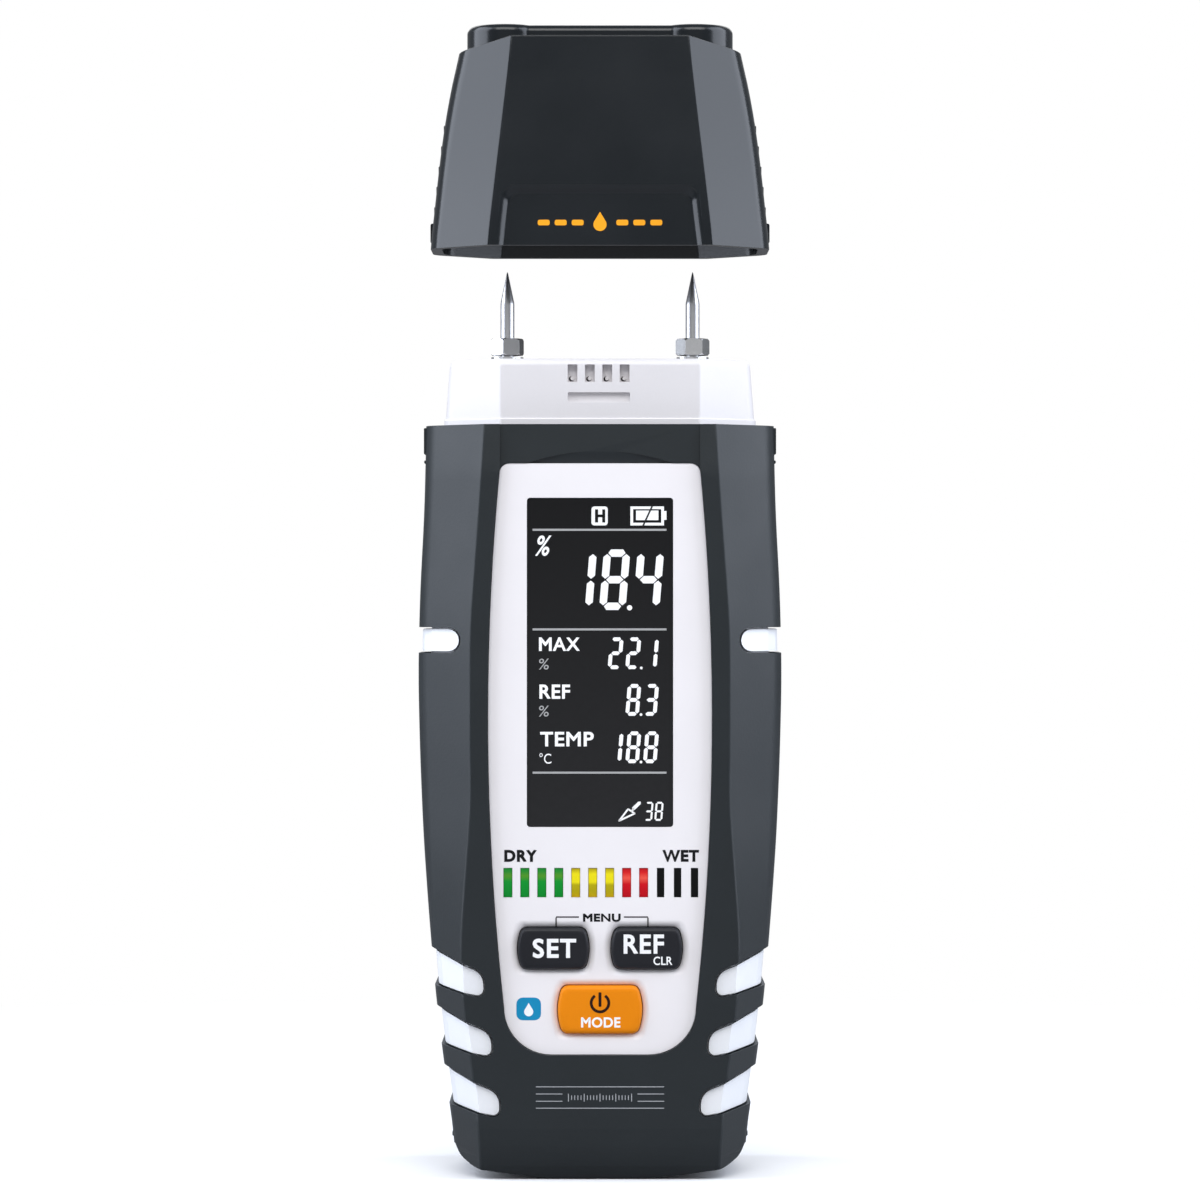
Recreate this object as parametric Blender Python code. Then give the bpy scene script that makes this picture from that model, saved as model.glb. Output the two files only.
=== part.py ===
"""Handheld moisture meter: two measuring pins, a display, three keys and a pull-off cap.

Run with: blender --background --python part.py

The meter stands on its base with +Z up and its display towards -Y. The origin is under
the middle of the base. The cap is held above the pins, clear of their tips. Every
dimension below is in millimetres, and MM turns it into Blender's metres.
"""
import math

import bmesh
import bpy
from mathutils import Matrix, Vector

MM = 0.001
GAP = 0.3                      # air between two neighbouring pieces
OUTSIDE = 60.0                 # beyond every side of the object, where cutters end

# Body: half sizes by height, read along straight lines between the rows
BODY_TOP = 119.6
BODY_HALF_WIDTH = ((-1, 23.1), (4, 23.2), (10, 24.0), (19.6, 25.3), (29, 26.4), (42, 27.5),
                   (54, 28.35), (67, 28.9), (80, 29.25), (93, 28.9), (106, 28.2), (119.6, 27.9))
BODY_CREASE = ((-1, 18.8), (10, 19.4), (19.6, 20.6), (29, 21.9), (37, 22.2), (42, 21.8),
               (54, 20.9), (60, 20.4), (67, 20.6), (87, 20.6), (106, 19.2), (119.6, 18.3))
BODY_HALF_DEPTH = ((-1, 17.2), (0, 17.4), (4, 18.7), (10, 19.0), (112, 19.0), (119.6, 18.2))
BODY_STATIONS = (0, 4, 10, 19.6, 29, 37, 42, 54, 60, 67, 80, 93, 106, 112)
BODY_SIDE_FLAT = 6.0
SHOULDER = ((0.80, 0.58), (0.95, 0.77))   # the two points of a rounded corner: share across, share back
FOOT_LINE = ((23.2, 4.8), (22.3, 3.0), (19.9, 1.5), (14.5, 0.7), (8.5, 0.0))

# Wall layers, measured inwards from the outer skin
OVERMOLD_INSET = 1.7
HOUSING_INSET = OVERMOLD_INSET + GAP
HOUSING_WALL = 1.6
LAND_INSET = 0.6               # hard plastic showing in the slots of the soft skin
OVERMOLD_FLOOR = 3.6
HOUSING_FLOOR = 1.8
TOP_FLANGE = 1.7
WALL_Y = (-16.0, 16.2)         # inside the front wall and the rear wall, where posts and bosses stand
SPIGOT_HOLE = (20.0, 9.5)      # opening in the shells' top for the head's spigot
SPIGOT_INSET = (0.3, 0.6)
SPIGOT_BORE = (18.0, 7.0)
SPIGOT_END = 115.7

# Slots and notch in the soft skin, on both sides
SLOT_COUNT = 3
SLOT_FIRST = (18.2, 28.55)     # inner lower corner
SLOT_STEP = (-1.25, -9.5)
SLOT_HEIGHT = 4.15
SLOT_RISE = 0.40               # slope of the upper edge
SLOT_DIP = 0.19                # slope of the lower edge
SLOT_CORNERS = (2.8, 1.2)      # upper and lower inner radius
NOTCH_FIRST = (22.15, 83.25)
NOTCH_HEIGHT = 4.1
NOTCH_CORNER = 2.0

# Front panel
PANEL_TOP = 113.4
PANEL_BOTTOM = 19.6
PANEL_HALF_WIDTH = 17.8
PANEL_WIDEST_AT = 73.0
PANEL_SIDE_RADIUS = 415.0
PANEL_TOP_CORNER = 1.6
PANEL_BOTTOM_CORNER = 7.5
PANEL_FRONT = -18.1
PANEL_THICK = 0.8
WINDOW = (11.6, 55.7, 107.9)   # half width, bottom, top
WINDOW_THICK = 1.5

# Bar graph
BAR_COUNT = 12
BAR_PITCH = 2.69
BAR_SHIFT = 0.19               # middle of the row, right of the panel's middle
BAR_WIDTH = 1.4
BAR_BOTTOM = 44.6
BAR_TOP = 49.2
GUIDE_HALF_WIDTH = 16.2
GUIDE_BASE_Y = (-14.9, -13.7)
BAR_RECESS = 0.05

# Display behind the window
LCD_BACK_Y = -14.6
BACKLIGHT_Y = (-14.3, -12.9)
FRAME_FRONT_Y = -14.9
FRAME_MARGIN = 1.6

# Keys: centre x, centre z, width, height
KEYS = {"set": (-7.4, 36.5, 11.5, 6.6), "ref": (7.4, 36.5, 11.5, 6.6), "mode": (0.0, 26.8, 13.5, 7.6)}
KEY_CORNER = 1.3
KEY_BULGE = 0.75               # how far the sides stand out between the corners
KEY_APEX = 0.26                # how far the two lines of a side meet beyond its round middle
KEY_SIDE_ROUND = 2.4           # radius of a side in half heights
KEY_FRONT = -18.95
KEY_EDGE = 0.35
KEY_FLANGE = 1.2
KEY_FLANGE_Y = (-14.9, -14.1)
SWITCH_HALF = 3.0
SWITCH_FRONT_Y = -12.7
PLUNGER_RADIUS = 1.6
PLUNGER_FRONT_Y = -13.2

# Circuit board and what is on it
BOARD_Y = (-11.0, -9.4)
BOARD_HALF_WIDTH = 18.5
BOARD_TONGUE = 11.0
BOARD_Z = (20.0, 106.0, 116.0)
POSTS = ((-16.3, 26.0), (16.3, 26.0), (-16.3, 100.0), (16.3, 100.0))
POST_RADIUS = 2.0
POST_BORE = (1.1, -15.0)       # radius, blind end
BOSSES = ((-11.5, 12.0), (11.5, 12.0), (-15.0, 112.0), (15.0, 112.0))
BOSS_RADII = (2.8, 3.3)        # front, rear
BOSS_BORE = (1.6, -14.0)
SCREW_WELL = (2.7, 2.9, 13.2)  # radius in the shell, radius in the skin, seat of the head
BOARD_SCREW = ((0.8, -14.4), (2.0, 0.0), (1.7, 1.2))      # radius, level: tip, then head above the board
CASE_SCREW = ((1.3, -8.0), (1.3, 13.5), (2.4, 13.5), (2.2, 15.1))
PROCESSOR = (7.0, (60.0, 74.0), 1.5)   # half width, bottom and top, height above the board
RADIO = (9.0, (86.0, 98.0), 2.2)
BUZZER = (6.0, 44.0, 4.5)      # radius, height of its centre, height above the board

# Measuring head and pins: height, half width, half depth
HEAD_ROWS = ((117.9, 25.1, 13.0), (120.6, 25.1, 13.0), (120.8, 24.9, 12.8),
             (129.4, 24.2, 12.3), (130.3, 23.4, 11.5))
HEAD_CREASE = 15.9
HEAD_SIDE_FLAT = 3.0
HEAD_WALL = 1.8
HEAD_CEILING = 128.3
HEAD_FLOOR = 1.6
HEAD_BOSS_RADIUS = 4.2
VENT_X = (-4.2, -1.4, 1.4, 4.2)
VENT_HALF_WIDTH = 0.75
VENT_Z = (126.5, 127.9)
LATCH_HALF_WIDTH = 5.0         # shallow recess below the vents
LATCH_Z = (122.8, 125.0)
LATCH_Y = -11.9
SENSOR = (2.5, (-9.8, -8.6), (120.5, 127.5))   # air temperature sensor: half width, Y, Z
PIN_X = 15.0
PIN_RADIUS = 1.12
PIN_Z = (122.0, 139.9, 144.8)
NUT_Z = (131.3, 134.0)
NUT_CORNER_RADIUS = 2.75
SOCKET_Z = (121.5, 131.0)
SOCKET_RADIUS = 2.6
LEAD_RADIUS = 0.65

# Batteries and their compartment
CELL_RADIUS = 5.25
CELL_LENGTH = 44.5
CELL_X = 5.65
CELL_Y = 9.6
CELL_CHAMFER = 0.6
CELL_BUTTON = (1.9, 1.0)       # radius, height
SPRING_LENGTH = 3.4
SPRING_WIRE = 0.27
SPRING_RADII = (3.4, 2.6)      # at the plate, at the cell
SPRING_TURNS = 2.5
CONTACT_THICK = 0.5
CONTACT_HALF_DEPTH = 4.0
CONTACT_X = (0.9, 10.5)
TRAY_HALF_WIDTH = 12.2
TRAY_Z = (33.4, 83.8)
TRAY_FLOOR_Y = 3.6
TRAY_WALL = 1.4
DOOR_HALF_WIDTH = 13.8
DOOR_Z = (30.4, 86.8)
DOOR_Y = (17.3, 18.9)
DOOR_EDGE = 0.4

# Cap, at rest above the pins: height, half width, front crease, half depth
CAP_RIM = 148.1
CAP_ROWS = ((148.1, 27.4, 17.9, 16.9), (153.6, 26.7, 17.3, 16.3), (161.4, 25.9, 16.4, 15.4),
            (169.0, 24.9, 15.5, 14.5), (176.9, 23.4, 14.6, 13.6), (182.6, 21.8, 14.0, 12.9))
CAP_SIDE_FLAT = 4.5
CAP_WALL = 1.8
CAP_CEILING = 178.0
ROOF_Z = 181.8
ROOF_FLAT = 14.0
ROOF_FALL = 0.23
CROWN_TOP = 184.5
CROWN_LOBE = 6.2
CROWN_WEB = 4.6
CROWN_X = 15.3
BADGE_TOP = 156.6              # shallow recess in the front, open at the rim
BADGE_HALF_WIDTH = (15.2, 13.2)
BADGE_DEPTH = 0.6
CAP_CONTACT = (2.0, 1.3)       # outer and inner radius of the test contacts
CAP_CONTACT_Z = (176.5, 184.3)
CAP_BOARD = (18.0, 4.0, (174.6, 176.2))   # half width, half depth, Z


# Materials

def material(name, colour, roughness, metallic=0.0):
    """A plain Principled material."""
    made = bpy.data.materials.new(name)
    made.use_nodes = True
    shader = made.node_tree.nodes["Principled BSDF"]
    shader.inputs["Base Color"].default_value = (*colour, 1.0)
    shader.inputs["Roughness"].default_value = roughness
    shader.inputs["Metallic"].default_value = metallic
    made.diffuse_color = (*colour, 1.0)
    return made


# Tables and outlines

def interpolate(table, height):
    """Value of a (height, value) table at a height."""
    for (low, first), (high, second) in zip(table, table[1:]):
        if height <= high:
            return first + (second - first) * (height - low) / (high - low)
    return table[-1][1]


def quarter_section(half_width, crease, half_depth, side_flat):
    """Corners of a quarter section, from the front crease round to the side wall."""
    run = half_width - crease
    drop = half_depth - side_flat
    between = [(crease + across * run, half_depth - back * drop) for across, back in SHOULDER]
    return [(crease, half_depth), *between, (half_width, side_flat)]


def inset_quarter(corners, inset):
    """The same quarter section with its walls moved inwards."""
    ends = [(0, corners[0][1]), *corners, (corners[-1][0], 0)]
    lines = []
    for (x0, y0), (x1, y1) in zip(ends, ends[1:]):
        length = math.hypot(x1 - x0, y1 - y0)
        across = (y0 - y1) / length
        along = (x1 - x0) / length
        lines.append((across, along, across * x0 + along * y0 - inset))
    moved = []
    for (a, b, c), (d, e, f) in zip(lines, lines[1:]):
        spread = a * e - b * d
        moved.append(((c * e - b * f) / spread, (a * f - c * d) / spread))
    return moved


def half_ring(quarter, side, edge, height):
    """Half section on one side of the parting plane, closed `edge` away from it."""
    right = [(x, side * y) for x, y in quarter] + [(quarter[-1][0], side * edge)]
    left = [(-x, y) for x, y in reversed(right)]
    return [(x, y, height) for x, y in left + right]


def full_ring(quarter, height):
    """Whole section, all four quarters."""
    right = quarter + [(x, -y) for x, y in reversed(quarter)]
    left = [(-x, y) for x, y in reversed(right)]
    return [(x, y, height) for x, y in right + left]


def body_quarter(height):
    """Quarter section of the body's outer skin."""
    return quarter_section(interpolate(BODY_HALF_WIDTH, height), interpolate(BODY_CREASE, height),
                           interpolate(BODY_HALF_DEPTH, height), BODY_SIDE_FLAT)


def rectangle(x0, x1, z0, z1):
    """Corners of an upright rectangle."""
    return [(x0, z0), (x1, z0), (x1, z1), (x0, z1)]


def arc(centre, radius, start, end, steps):
    """Points along a circular arc, angles in degrees."""
    points = []
    for step in range(steps + 1):
        angle = math.radians(start + (end - start) * step / steps)
        points.append((centre[0] + radius * math.cos(angle), centre[1] + radius * math.sin(angle)))
    return points


def circle(centre, radius, steps=20):
    """A whole circle."""
    return arc(centre, radius, 0, 360 * (steps - 1) / steps, steps - 1)


def rounded(corners, steps=4):
    """Closed outline through (x, z, radius) corners, each rounded by its arc."""
    points = []
    for index, (x, z, radius) in enumerate(corners):
        here = Vector((x, z))
        if not radius:
            points.append((x, z))
            continue
        before = (Vector(corners[index - 1][:2]) - here).normalized()
        after = (Vector(corners[(index + 1) % len(corners)][:2]) - here).normalized()
        half = before.angle(after) / 2
        centre = here + (before + after).normalized() * radius / math.sin(half)
        start = here + before * radius / math.tan(half) - centre
        end = here + after * radius / math.tan(half) - centre
        turn = start.angle_signed(end)
        for step in range(steps + 1):
            points.append(tuple(centre + Matrix.Rotation(-turn * step / steps, 2) @ start))
    return points


def key_outline(x, z, width, height, grow=0.0):
    """A key seen from the front: straight top and bottom, rounded corners, bulging sides."""
    half_width = width / 2 + grow
    half_height = height / 2 + grow
    shoulder = half_width - KEY_BULGE
    side_radius = KEY_SIDE_ROUND * half_height
    right = [(x + shoulder, z - half_height, KEY_CORNER), (x + half_width + KEY_APEX, z, side_radius),
             (x + shoulder, z + half_height, KEY_CORNER)]
    left = [(2 * x - u, v, radius) for u, v, radius in reversed(right)]
    return rounded(right + left)


def panel_outline(grow):
    """Outline of the front panel: bulging sides, small top corners, large bottom corners."""
    def half_width(height):
        return PANEL_HALF_WIDTH - (height - PANEL_WIDEST_AT) ** 2 / (2 * PANEL_SIDE_RADIUS) + grow

    top = PANEL_TOP + grow
    bottom = PANEL_BOTTOM - grow
    low = (half_width(bottom + PANEL_BOTTOM_CORNER) - PANEL_BOTTOM_CORNER, bottom + PANEL_BOTTOM_CORNER)
    high = (half_width(top - PANEL_TOP_CORNER) - PANEL_TOP_CORNER, top - PANEL_TOP_CORNER)
    right = arc(low, PANEL_BOTTOM_CORNER, -90, 0, 6)
    side_steps = 8
    for step in range(1, side_steps):
        height = low[1] + (high[1] - low[1]) * step / side_steps
        right.append((half_width(height), height))
    right += arc(high, PANEL_TOP_CORNER, 0, 90, 3)
    return right + [(-x, z) for x, z in reversed(right)]


def side_opening(first, height, rise, dip, corners, grow):
    """A slot that runs out over the side from a rounded inner end."""
    far = OUTSIDE
    x = first[0] - grow
    top = first[1] + height - grow * rise + grow * math.hypot(1, rise)
    bottom = first[1] - grow * dip - grow * math.hypot(1, dip)
    return rounded([(far, top + (far - x) * rise, 0), (x, top, corners[0] + grow),
                    (x, bottom, corners[1] + grow), (far, bottom + (far - x) * dip, 0)])


def side_openings(grow):
    """The notch and the slanted slots, on both sides."""
    right = [side_opening(NOTCH_FIRST, NOTCH_HEIGHT, 0, 0, (NOTCH_CORNER, NOTCH_CORNER), grow)]
    for number in range(SLOT_COUNT):
        first = (SLOT_FIRST[0] + number * SLOT_STEP[0], SLOT_FIRST[1] + number * SLOT_STEP[1])
        right.append(side_opening(first, SLOT_HEIGHT, SLOT_RISE, SLOT_DIP, SLOT_CORNERS, grow))
    left = [[(-x, z) for x, z in outline] for outline in right]
    return right + left


def crown_outline(inset):
    """Two round lobes joined by a narrower web, seen from above."""
    radius = CROWN_LOBE - inset
    web = CROWN_WEB - inset
    open_angle = 180 - math.degrees(math.asin(web / radius))
    right = arc((CROWN_X, 0), radius, -open_angle, open_angle, 14)
    return right + [(-x, -y) for x, y in right]


# Mesh builders

def finish(name, bm, surface=None, smooth=False):
    """Turn a bmesh drawn in millimetres into an object in metres."""
    bmesh.ops.recalc_face_normals(bm, faces=bm.faces)
    bmesh.ops.scale(bm, vec=(MM, MM, MM), verts=bm.verts)
    mesh = bpy.data.meshes.new(name)
    bm.to_mesh(mesh)
    bm.free()
    if surface:
        mesh.materials.append(surface)
    if smooth:
        mesh.shade_smooth()
        mesh.set_sharp_from_angle(angle=math.radians(35))
    made = bpy.data.objects.new(name, mesh)
    bpy.context.collection.objects.link(made)
    return made


def loft(rings):
    """Skin a row of rings that have the same number of points, and close both ends."""
    bm = bmesh.new()
    rows = [[bm.verts.new(point) for point in ring] for ring in rings]
    count = len(rows[0])
    for first, second in zip(rows, rows[1:]):
        for i in range(count):
            j = (i + 1) % count
            bm.faces.new((first[i], first[j], second[j], second[i]))
    bm.faces.new(rows[0])
    bm.faces.new(rows[-1])
    return bm


def prisms(outlines, axis, low, high):
    """Extrude outlines along Y (outline in X and Z) or along Z (outline in X and Y)."""
    bm = bmesh.new()
    for outline in outlines:
        rows = []
        for level in (low, high):
            row = []
            for u, v in outline:
                row.append(bm.verts.new((u, level, v) if axis == "Y" else (u, v, level)))
            rows.append(row)
        count = len(outline)
        for i in range(count):
            j = (i + 1) % count
            bm.faces.new((rows[0][i], rows[0][j], rows[1][j], rows[1][i]))
        bm.faces.new(rows[0])
        bm.faces.new(rows[1])
    return bm


def turned(profile, centre, axis, steps=20, phase=0.0):
    """Turn a (radius, level) profile about an axis through a centre; a zero radius is a tip."""
    bm = bmesh.new()
    rows = []
    for radius, level in profile:
        row = []
        for step in range(steps if radius else 1):
            angle = 2 * math.pi * step / steps + phase
            u = centre[0] + radius * math.cos(angle)
            v = centre[1] + radius * math.sin(angle)
            row.append(bm.verts.new((u, level, v) if axis == "Y" else (u, v, level)))
        rows.append(row)
    for first, second in zip(rows, rows[1:]):
        for i in range(steps):
            j = (i + 1) % steps
            ring = [first[i % len(first)], first[j % len(first)], second[j % len(second)], second[i % len(second)]]
            bm.faces.new(dict.fromkeys(ring))
    for row in (rows[0], rows[-1]):
        if len(row) > 1:
            bm.faces.new(row)
    return bm


def ring_points(centre, radius, count, phase):
    """Evenly spaced points on a circle."""
    points = []
    for step in range(count):
        angle = 2 * math.pi * step / count + phase
        points.append((centre[0] + radius * math.cos(angle), centre[1] + radius * math.sin(angle)))
    return points


def bushing(outer, inner, low, high, centre, steps=20, outer_steps=None):
    """A ring with a straight bore; the outside may have fewer sides, as on a nut."""
    sides = outer_steps or steps
    bm = bmesh.new()
    walls = []
    for radius, count, phase in ((outer, sides, 0.35), (inner, steps, 0.0)):
        for level in (low, high):
            walls.append([bm.verts.new((x, y, level)) for x, y in ring_points(centre, radius, count, phase)])
    for first, second in ((walls[0], walls[1]), (walls[2], walls[3])):
        for i in range(len(first)):
            j = (i + 1) % len(first)
            bm.faces.new((first[i], first[j], second[j], second[i]))
    for rim, hole in ((walls[0], walls[2]), (walls[1], walls[3])):
        edges = []
        for loop in (rim, hole):
            for i in range(len(loop)):
                edges.append(bm.edges.get((loop[i], loop[(i + 1) % len(loop)])))
        bmesh.ops.triangle_fill(bm, edges=edges, use_beauty=True)
    return bm


def wire(name, points, radius, surface):
    """A round wire with closed ends along a row of points."""
    curve = bpy.data.curves.new(name, "CURVE")
    curve.dimensions = "3D"
    curve.bevel_depth = radius * MM
    curve.bevel_resolution = 1
    curve.use_fill_caps = True
    spline = curve.splines.new("POLY")
    spline.points.add(len(points) - 1)
    for target, (x, y, z) in zip(spline.points, points):
        target.co = (x * MM, y * MM, z * MM, 1.0)
    curve.materials.append(surface)
    made = bpy.data.objects.new(name, curve)
    bpy.context.collection.objects.link(made)
    return made


def smooth_path(knots, steps):
    """Points along a Catmull-Rom curve through the knots."""
    ends = [knots[0], *knots, knots[-1]]
    path = []
    for a, b, c, d in zip(ends, ends[1:], ends[2:], ends[3:]):
        for step in range(steps):
            t = step / steps
            path.append(tuple(0.5 * (2 * q + (r - p) * t + (2 * p - 5 * q + 4 * r - s) * t ** 2
                                     + (3 * q - p - 3 * r + s) * t ** 3)
                              for p, q, r, s in zip(a, b, c, d)))
    path.append(knots[-1])
    return path


def box(name, x, y, z, surface):
    """A block between two corners, given as low and high along each axis."""
    return finish(name, prisms([rectangle(x[0], x[1], z[0], z[1])], "Y", y[0], y[1]), surface)


def combine(target, bm, operation):
    """Cut, add or intersect with a hidden tool shape."""
    tool = finish(f"{target.name}_tool_{len(target.modifiers)}", bm)
    tool.hide_render = True
    tool.display_type = "WIRE"
    step = target.modifiers.new(operation.lower(), "BOOLEAN")
    step.operation = operation
    step.solver = "EXACT"
    step.object = tool
    return tool


def cut(target, bm):
    """Remove a shape from a piece."""
    return combine(target, bm, "DIFFERENCE")


def add(target, bm):
    """Join a shape to a piece."""
    return combine(target, bm, "UNION")


def set_pivot(piece, pivot):
    """Move a piece's origin to a point, leaving the piece where it is."""
    for vertex in piece.data.vertices:
        vertex.co = [value - MM * shift for value, shift in zip(vertex.co, pivot)]
    piece.location = [MM * value for value in pivot]


# Body shells

def half_body(side, inset, edge, low, high):
    """Loft of one half of the body, inset from the outer skin."""
    heights = [low, *[z for z in BODY_STATIONS if low < z < high], high]
    return loft([half_ring(inset_quarter(body_quarter(z), inset), side, edge, z) for z in heights])


def head_ring(height, half_width, half_depth, grow=0.0):
    """Section of the measuring head."""
    return full_ring(inset_quarter(quarter_section(half_width, HEAD_CREASE, half_depth, HEAD_SIDE_FLAT), -grow),
                     height)


def overmold(name, side, surface):
    """One half of the soft skin: foot, slots, notch and the flange round the head."""
    skin = finish(name, half_body(side, 0, GAP / 2, -1, BODY_TOP), surface)
    cut(skin, prisms([foot_outline()], "Y", -OUTSIDE, OUTSIDE))
    cut(skin, half_body(side, OVERMOLD_INSET, -1, OVERMOLD_FLOOR, BODY_TOP - TOP_FLANGE))
    _, width, depth = HEAD_ROWS[0]
    cut(skin, loft([head_ring(z, width, depth, GAP) for z in (BODY_TOP - 5, BODY_TOP + 5)]))
    cut(skin, prisms(side_openings(0), "Y", -OUTSIDE, OUTSIDE))
    return skin


def foot_outline():
    """Everything below the underside, which rises towards the outer corners."""
    right = [(OUTSIDE, -OUTSIDE), (OUTSIDE, FOOT_LINE[0][1]), *FOOT_LINE]
    return right + [(-x, z) for x, z in reversed(right)]


def housing(name, side, surface):
    """One half of the hard shell, with lands that fill the slots of the soft skin."""
    low = OVERMOLD_FLOOR + GAP
    high = BODY_TOP - TOP_FLANGE - GAP
    shell = finish(name, half_body(side, HOUSING_INSET, GAP / 2, low, high), surface)
    land = add(shell, half_body(side, LAND_INSET, GAP / 2, low + 4, high - 4))
    combine(land, prisms(side_openings(-GAP), "Y", -OUTSIDE, OUTSIDE), "INTERSECT")
    cut(shell, half_body(side, HOUSING_INSET + HOUSING_WALL, -1, low + HOUSING_FLOOR, high - HOUSING_WALL))
    width, depth = SPIGOT_HOLE
    cut(shell, prisms([rectangle(-width, width, -depth, depth)], "Z", high - 5, high + 5))
    return shell


def front_openings():
    """Window, bar and key openings through the panel and the wall behind it."""
    half_width, bottom, top = WINDOW
    outlines = [rectangle(-half_width - GAP, half_width + GAP, bottom - GAP, top + GAP)]
    for x in bar_centres():
        reach = BAR_WIDTH / 2 + GAP
        outlines.append(rectangle(x - reach, x + reach, BAR_BOTTOM - GAP, BAR_TOP + GAP))
    for key in KEYS.values():
        outlines.append(key_outline(*key, GAP))
    return prisms(outlines, "Y", -OUTSIDE, WALL_Y[0] + 3)


def bar_centres():
    """Middle of each bar of the bar graph."""
    return [BAR_SHIFT + (number - (BAR_COUNT - 1) / 2) * BAR_PITCH for number in range(BAR_COUNT)]


def pegs(centres, radius, low, high, steps=16):
    """Round posts or bores along Y at several places."""
    return prisms([circle(centre, radius, steps) for centre in centres], "Y", low, high)


def build_front(soft, hard, white):
    """Front skin, front shell and panel."""
    skin = overmold("front_overmold", -1, soft)
    cut(skin, prisms([panel_outline(0)], "Y", -OUTSIDE, WALL_Y[0]))

    shell = housing("front_housing", -1, hard)
    add(shell, pegs(POSTS, POST_RADIUS, WALL_Y[0], BOARD_Y[0] - GAP, 14))
    add(shell, pegs(BOSSES, BOSS_RADII[0], WALL_Y[0], -GAP / 2))
    cut(shell, pegs(POSTS, *POST_BORE, 0, 12))
    cut(shell, pegs(BOSSES, *BOSS_BORE, 2, 12))
    cut(shell, front_openings())

    plate = finish("faceplate", prisms([panel_outline(-GAP)], "Y", PANEL_FRONT, PANEL_FRONT + PANEL_THICK), white)
    cut(plate, front_openings())


def build_rear(soft, hard):
    """Rear skin, and rear shell with its battery tray and screw wells."""
    shell_well, skin_well, seat = SCREW_WELL
    skin = overmold("rear_overmold", 1, soft)
    reach = DOOR_HALF_WIDTH + GAP
    cut(skin, prisms([rectangle(-reach, reach, DOOR_Z[0] - GAP, DOOR_Z[1] + GAP)], "Y", seat, OUTSIDE))
    cut(skin, pegs(BOSSES, skin_well, seat, OUTSIDE))

    shell = housing("rear_housing", 1, hard)
    outer = TRAY_HALF_WIDTH + TRAY_WALL
    tray = rectangle(-outer, outer, TRAY_Z[0] - TRAY_WALL, TRAY_Z[1] + TRAY_WALL)
    add(shell, prisms([tray], "Y", TRAY_FLOOR_Y - TRAY_WALL, WALL_Y[1]))
    add(shell, pegs(BOSSES, BOSS_RADII[1], GAP / 2, WALL_Y[1]))
    cut(shell, prisms([rectangle(-TRAY_HALF_WIDTH, TRAY_HALF_WIDTH, *TRAY_Z)], "Y", TRAY_FLOOR_Y, OUTSIDE))
    cut(shell, pegs(BOSSES, BOSS_BORE[0], -2, seat + 1, 12))
    cut(shell, pegs(BOSSES, shell_well, seat, OUTSIDE))


def build_door(hard):
    """Battery door, hinged along its lower edge."""
    half_width = DOOR_HALF_WIDTH
    door = box("battery_door", (-half_width, half_width), DOOR_Y, DOOR_Z, hard)
    set_pivot(door, (0, DOOR_Y[1], DOOR_Z[0]))
    edges = door.modifiers.new("edges", "BEVEL")
    edges.width = DOOR_EDGE * MM
    edges.segments = 1


# Display, bar graph and keys

def build_display(glass, dark, white):
    """Window, liquid-crystal panel, backlight and the frame that holds them."""
    half_width, bottom, top = WINDOW
    x = (-half_width, half_width)
    z = (bottom, top)
    window_back = PANEL_FRONT + WINDOW_THICK
    box("display_window", x, (PANEL_FRONT, window_back), z, glass)
    box("lcd_panel", x, (window_back + GAP, LCD_BACK_Y), z, dark)
    box("lcd_backlight", x, BACKLIGHT_Y, z, white)
    outer = half_width + FRAME_MARGIN
    frame = box("lcd_frame", (-outer, outer), (FRAME_FRONT_Y, BOARD_Y[0] - GAP),
                (bottom - FRAME_MARGIN, top + FRAME_MARGIN), dark)
    reach = half_width + GAP
    cut(frame, prisms([rectangle(-reach, reach, bottom - GAP, top + GAP)], "Y", -OUTSIDE, 0))


def build_light_guide(clear):
    """Comb with one tooth for each bar, standing on a common base."""
    front = PANEL_FRONT + BAR_RECESS
    low, high = GUIDE_BASE_Y
    outline = [(GUIDE_HALF_WIDTH, low), (GUIDE_HALF_WIDTH, high), (-GUIDE_HALF_WIDTH, high), (-GUIDE_HALF_WIDTH, low)]
    reach = BAR_WIDTH / 2
    for x in bar_centres():
        outline += [(x - reach, low), (x - reach, front), (x + reach, front), (x + reach, low)]
    finish("bar_light_guide", prisms([outline], "Z", BAR_BOTTOM, BAR_TOP), clear)


def build_keys(dark, amber, switch_surface):
    """Three keys, each with a retaining flange, and the switch behind each."""
    for name, (x, z, width, height) in KEYS.items():
        rings = []
        for grow, y in ((KEY_FLANGE, KEY_FLANGE_Y[1]), (KEY_FLANGE, KEY_FLANGE_Y[0]), (0, KEY_FLANGE_Y[0]),
                        (0, KEY_FRONT + KEY_EDGE), (-KEY_EDGE, KEY_FRONT)):
            outline = key_outline(x, z, width, height, grow)
            rings.append([(u, y, v) for u, v in outline])
        key = finish(f"button_{name}", loft(rings), amber if name == "mode" else dark)
        set_pivot(key, (x, KEY_FRONT, z))
        switch = box(f"switch_{name}", (x - SWITCH_HALF, x + SWITCH_HALF), (SWITCH_FRONT_Y, BOARD_Y[0] - GAP),
                     (z - SWITCH_HALF, z + SWITCH_HALF), switch_surface)
        plunger = [(PLUNGER_RADIUS, PLUNGER_FRONT_Y), (PLUNGER_RADIUS, BOARD_Y[0] - 1)]
        add(switch, turned(plunger, (x, z), "Y", 14))


# Circuit board

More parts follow.
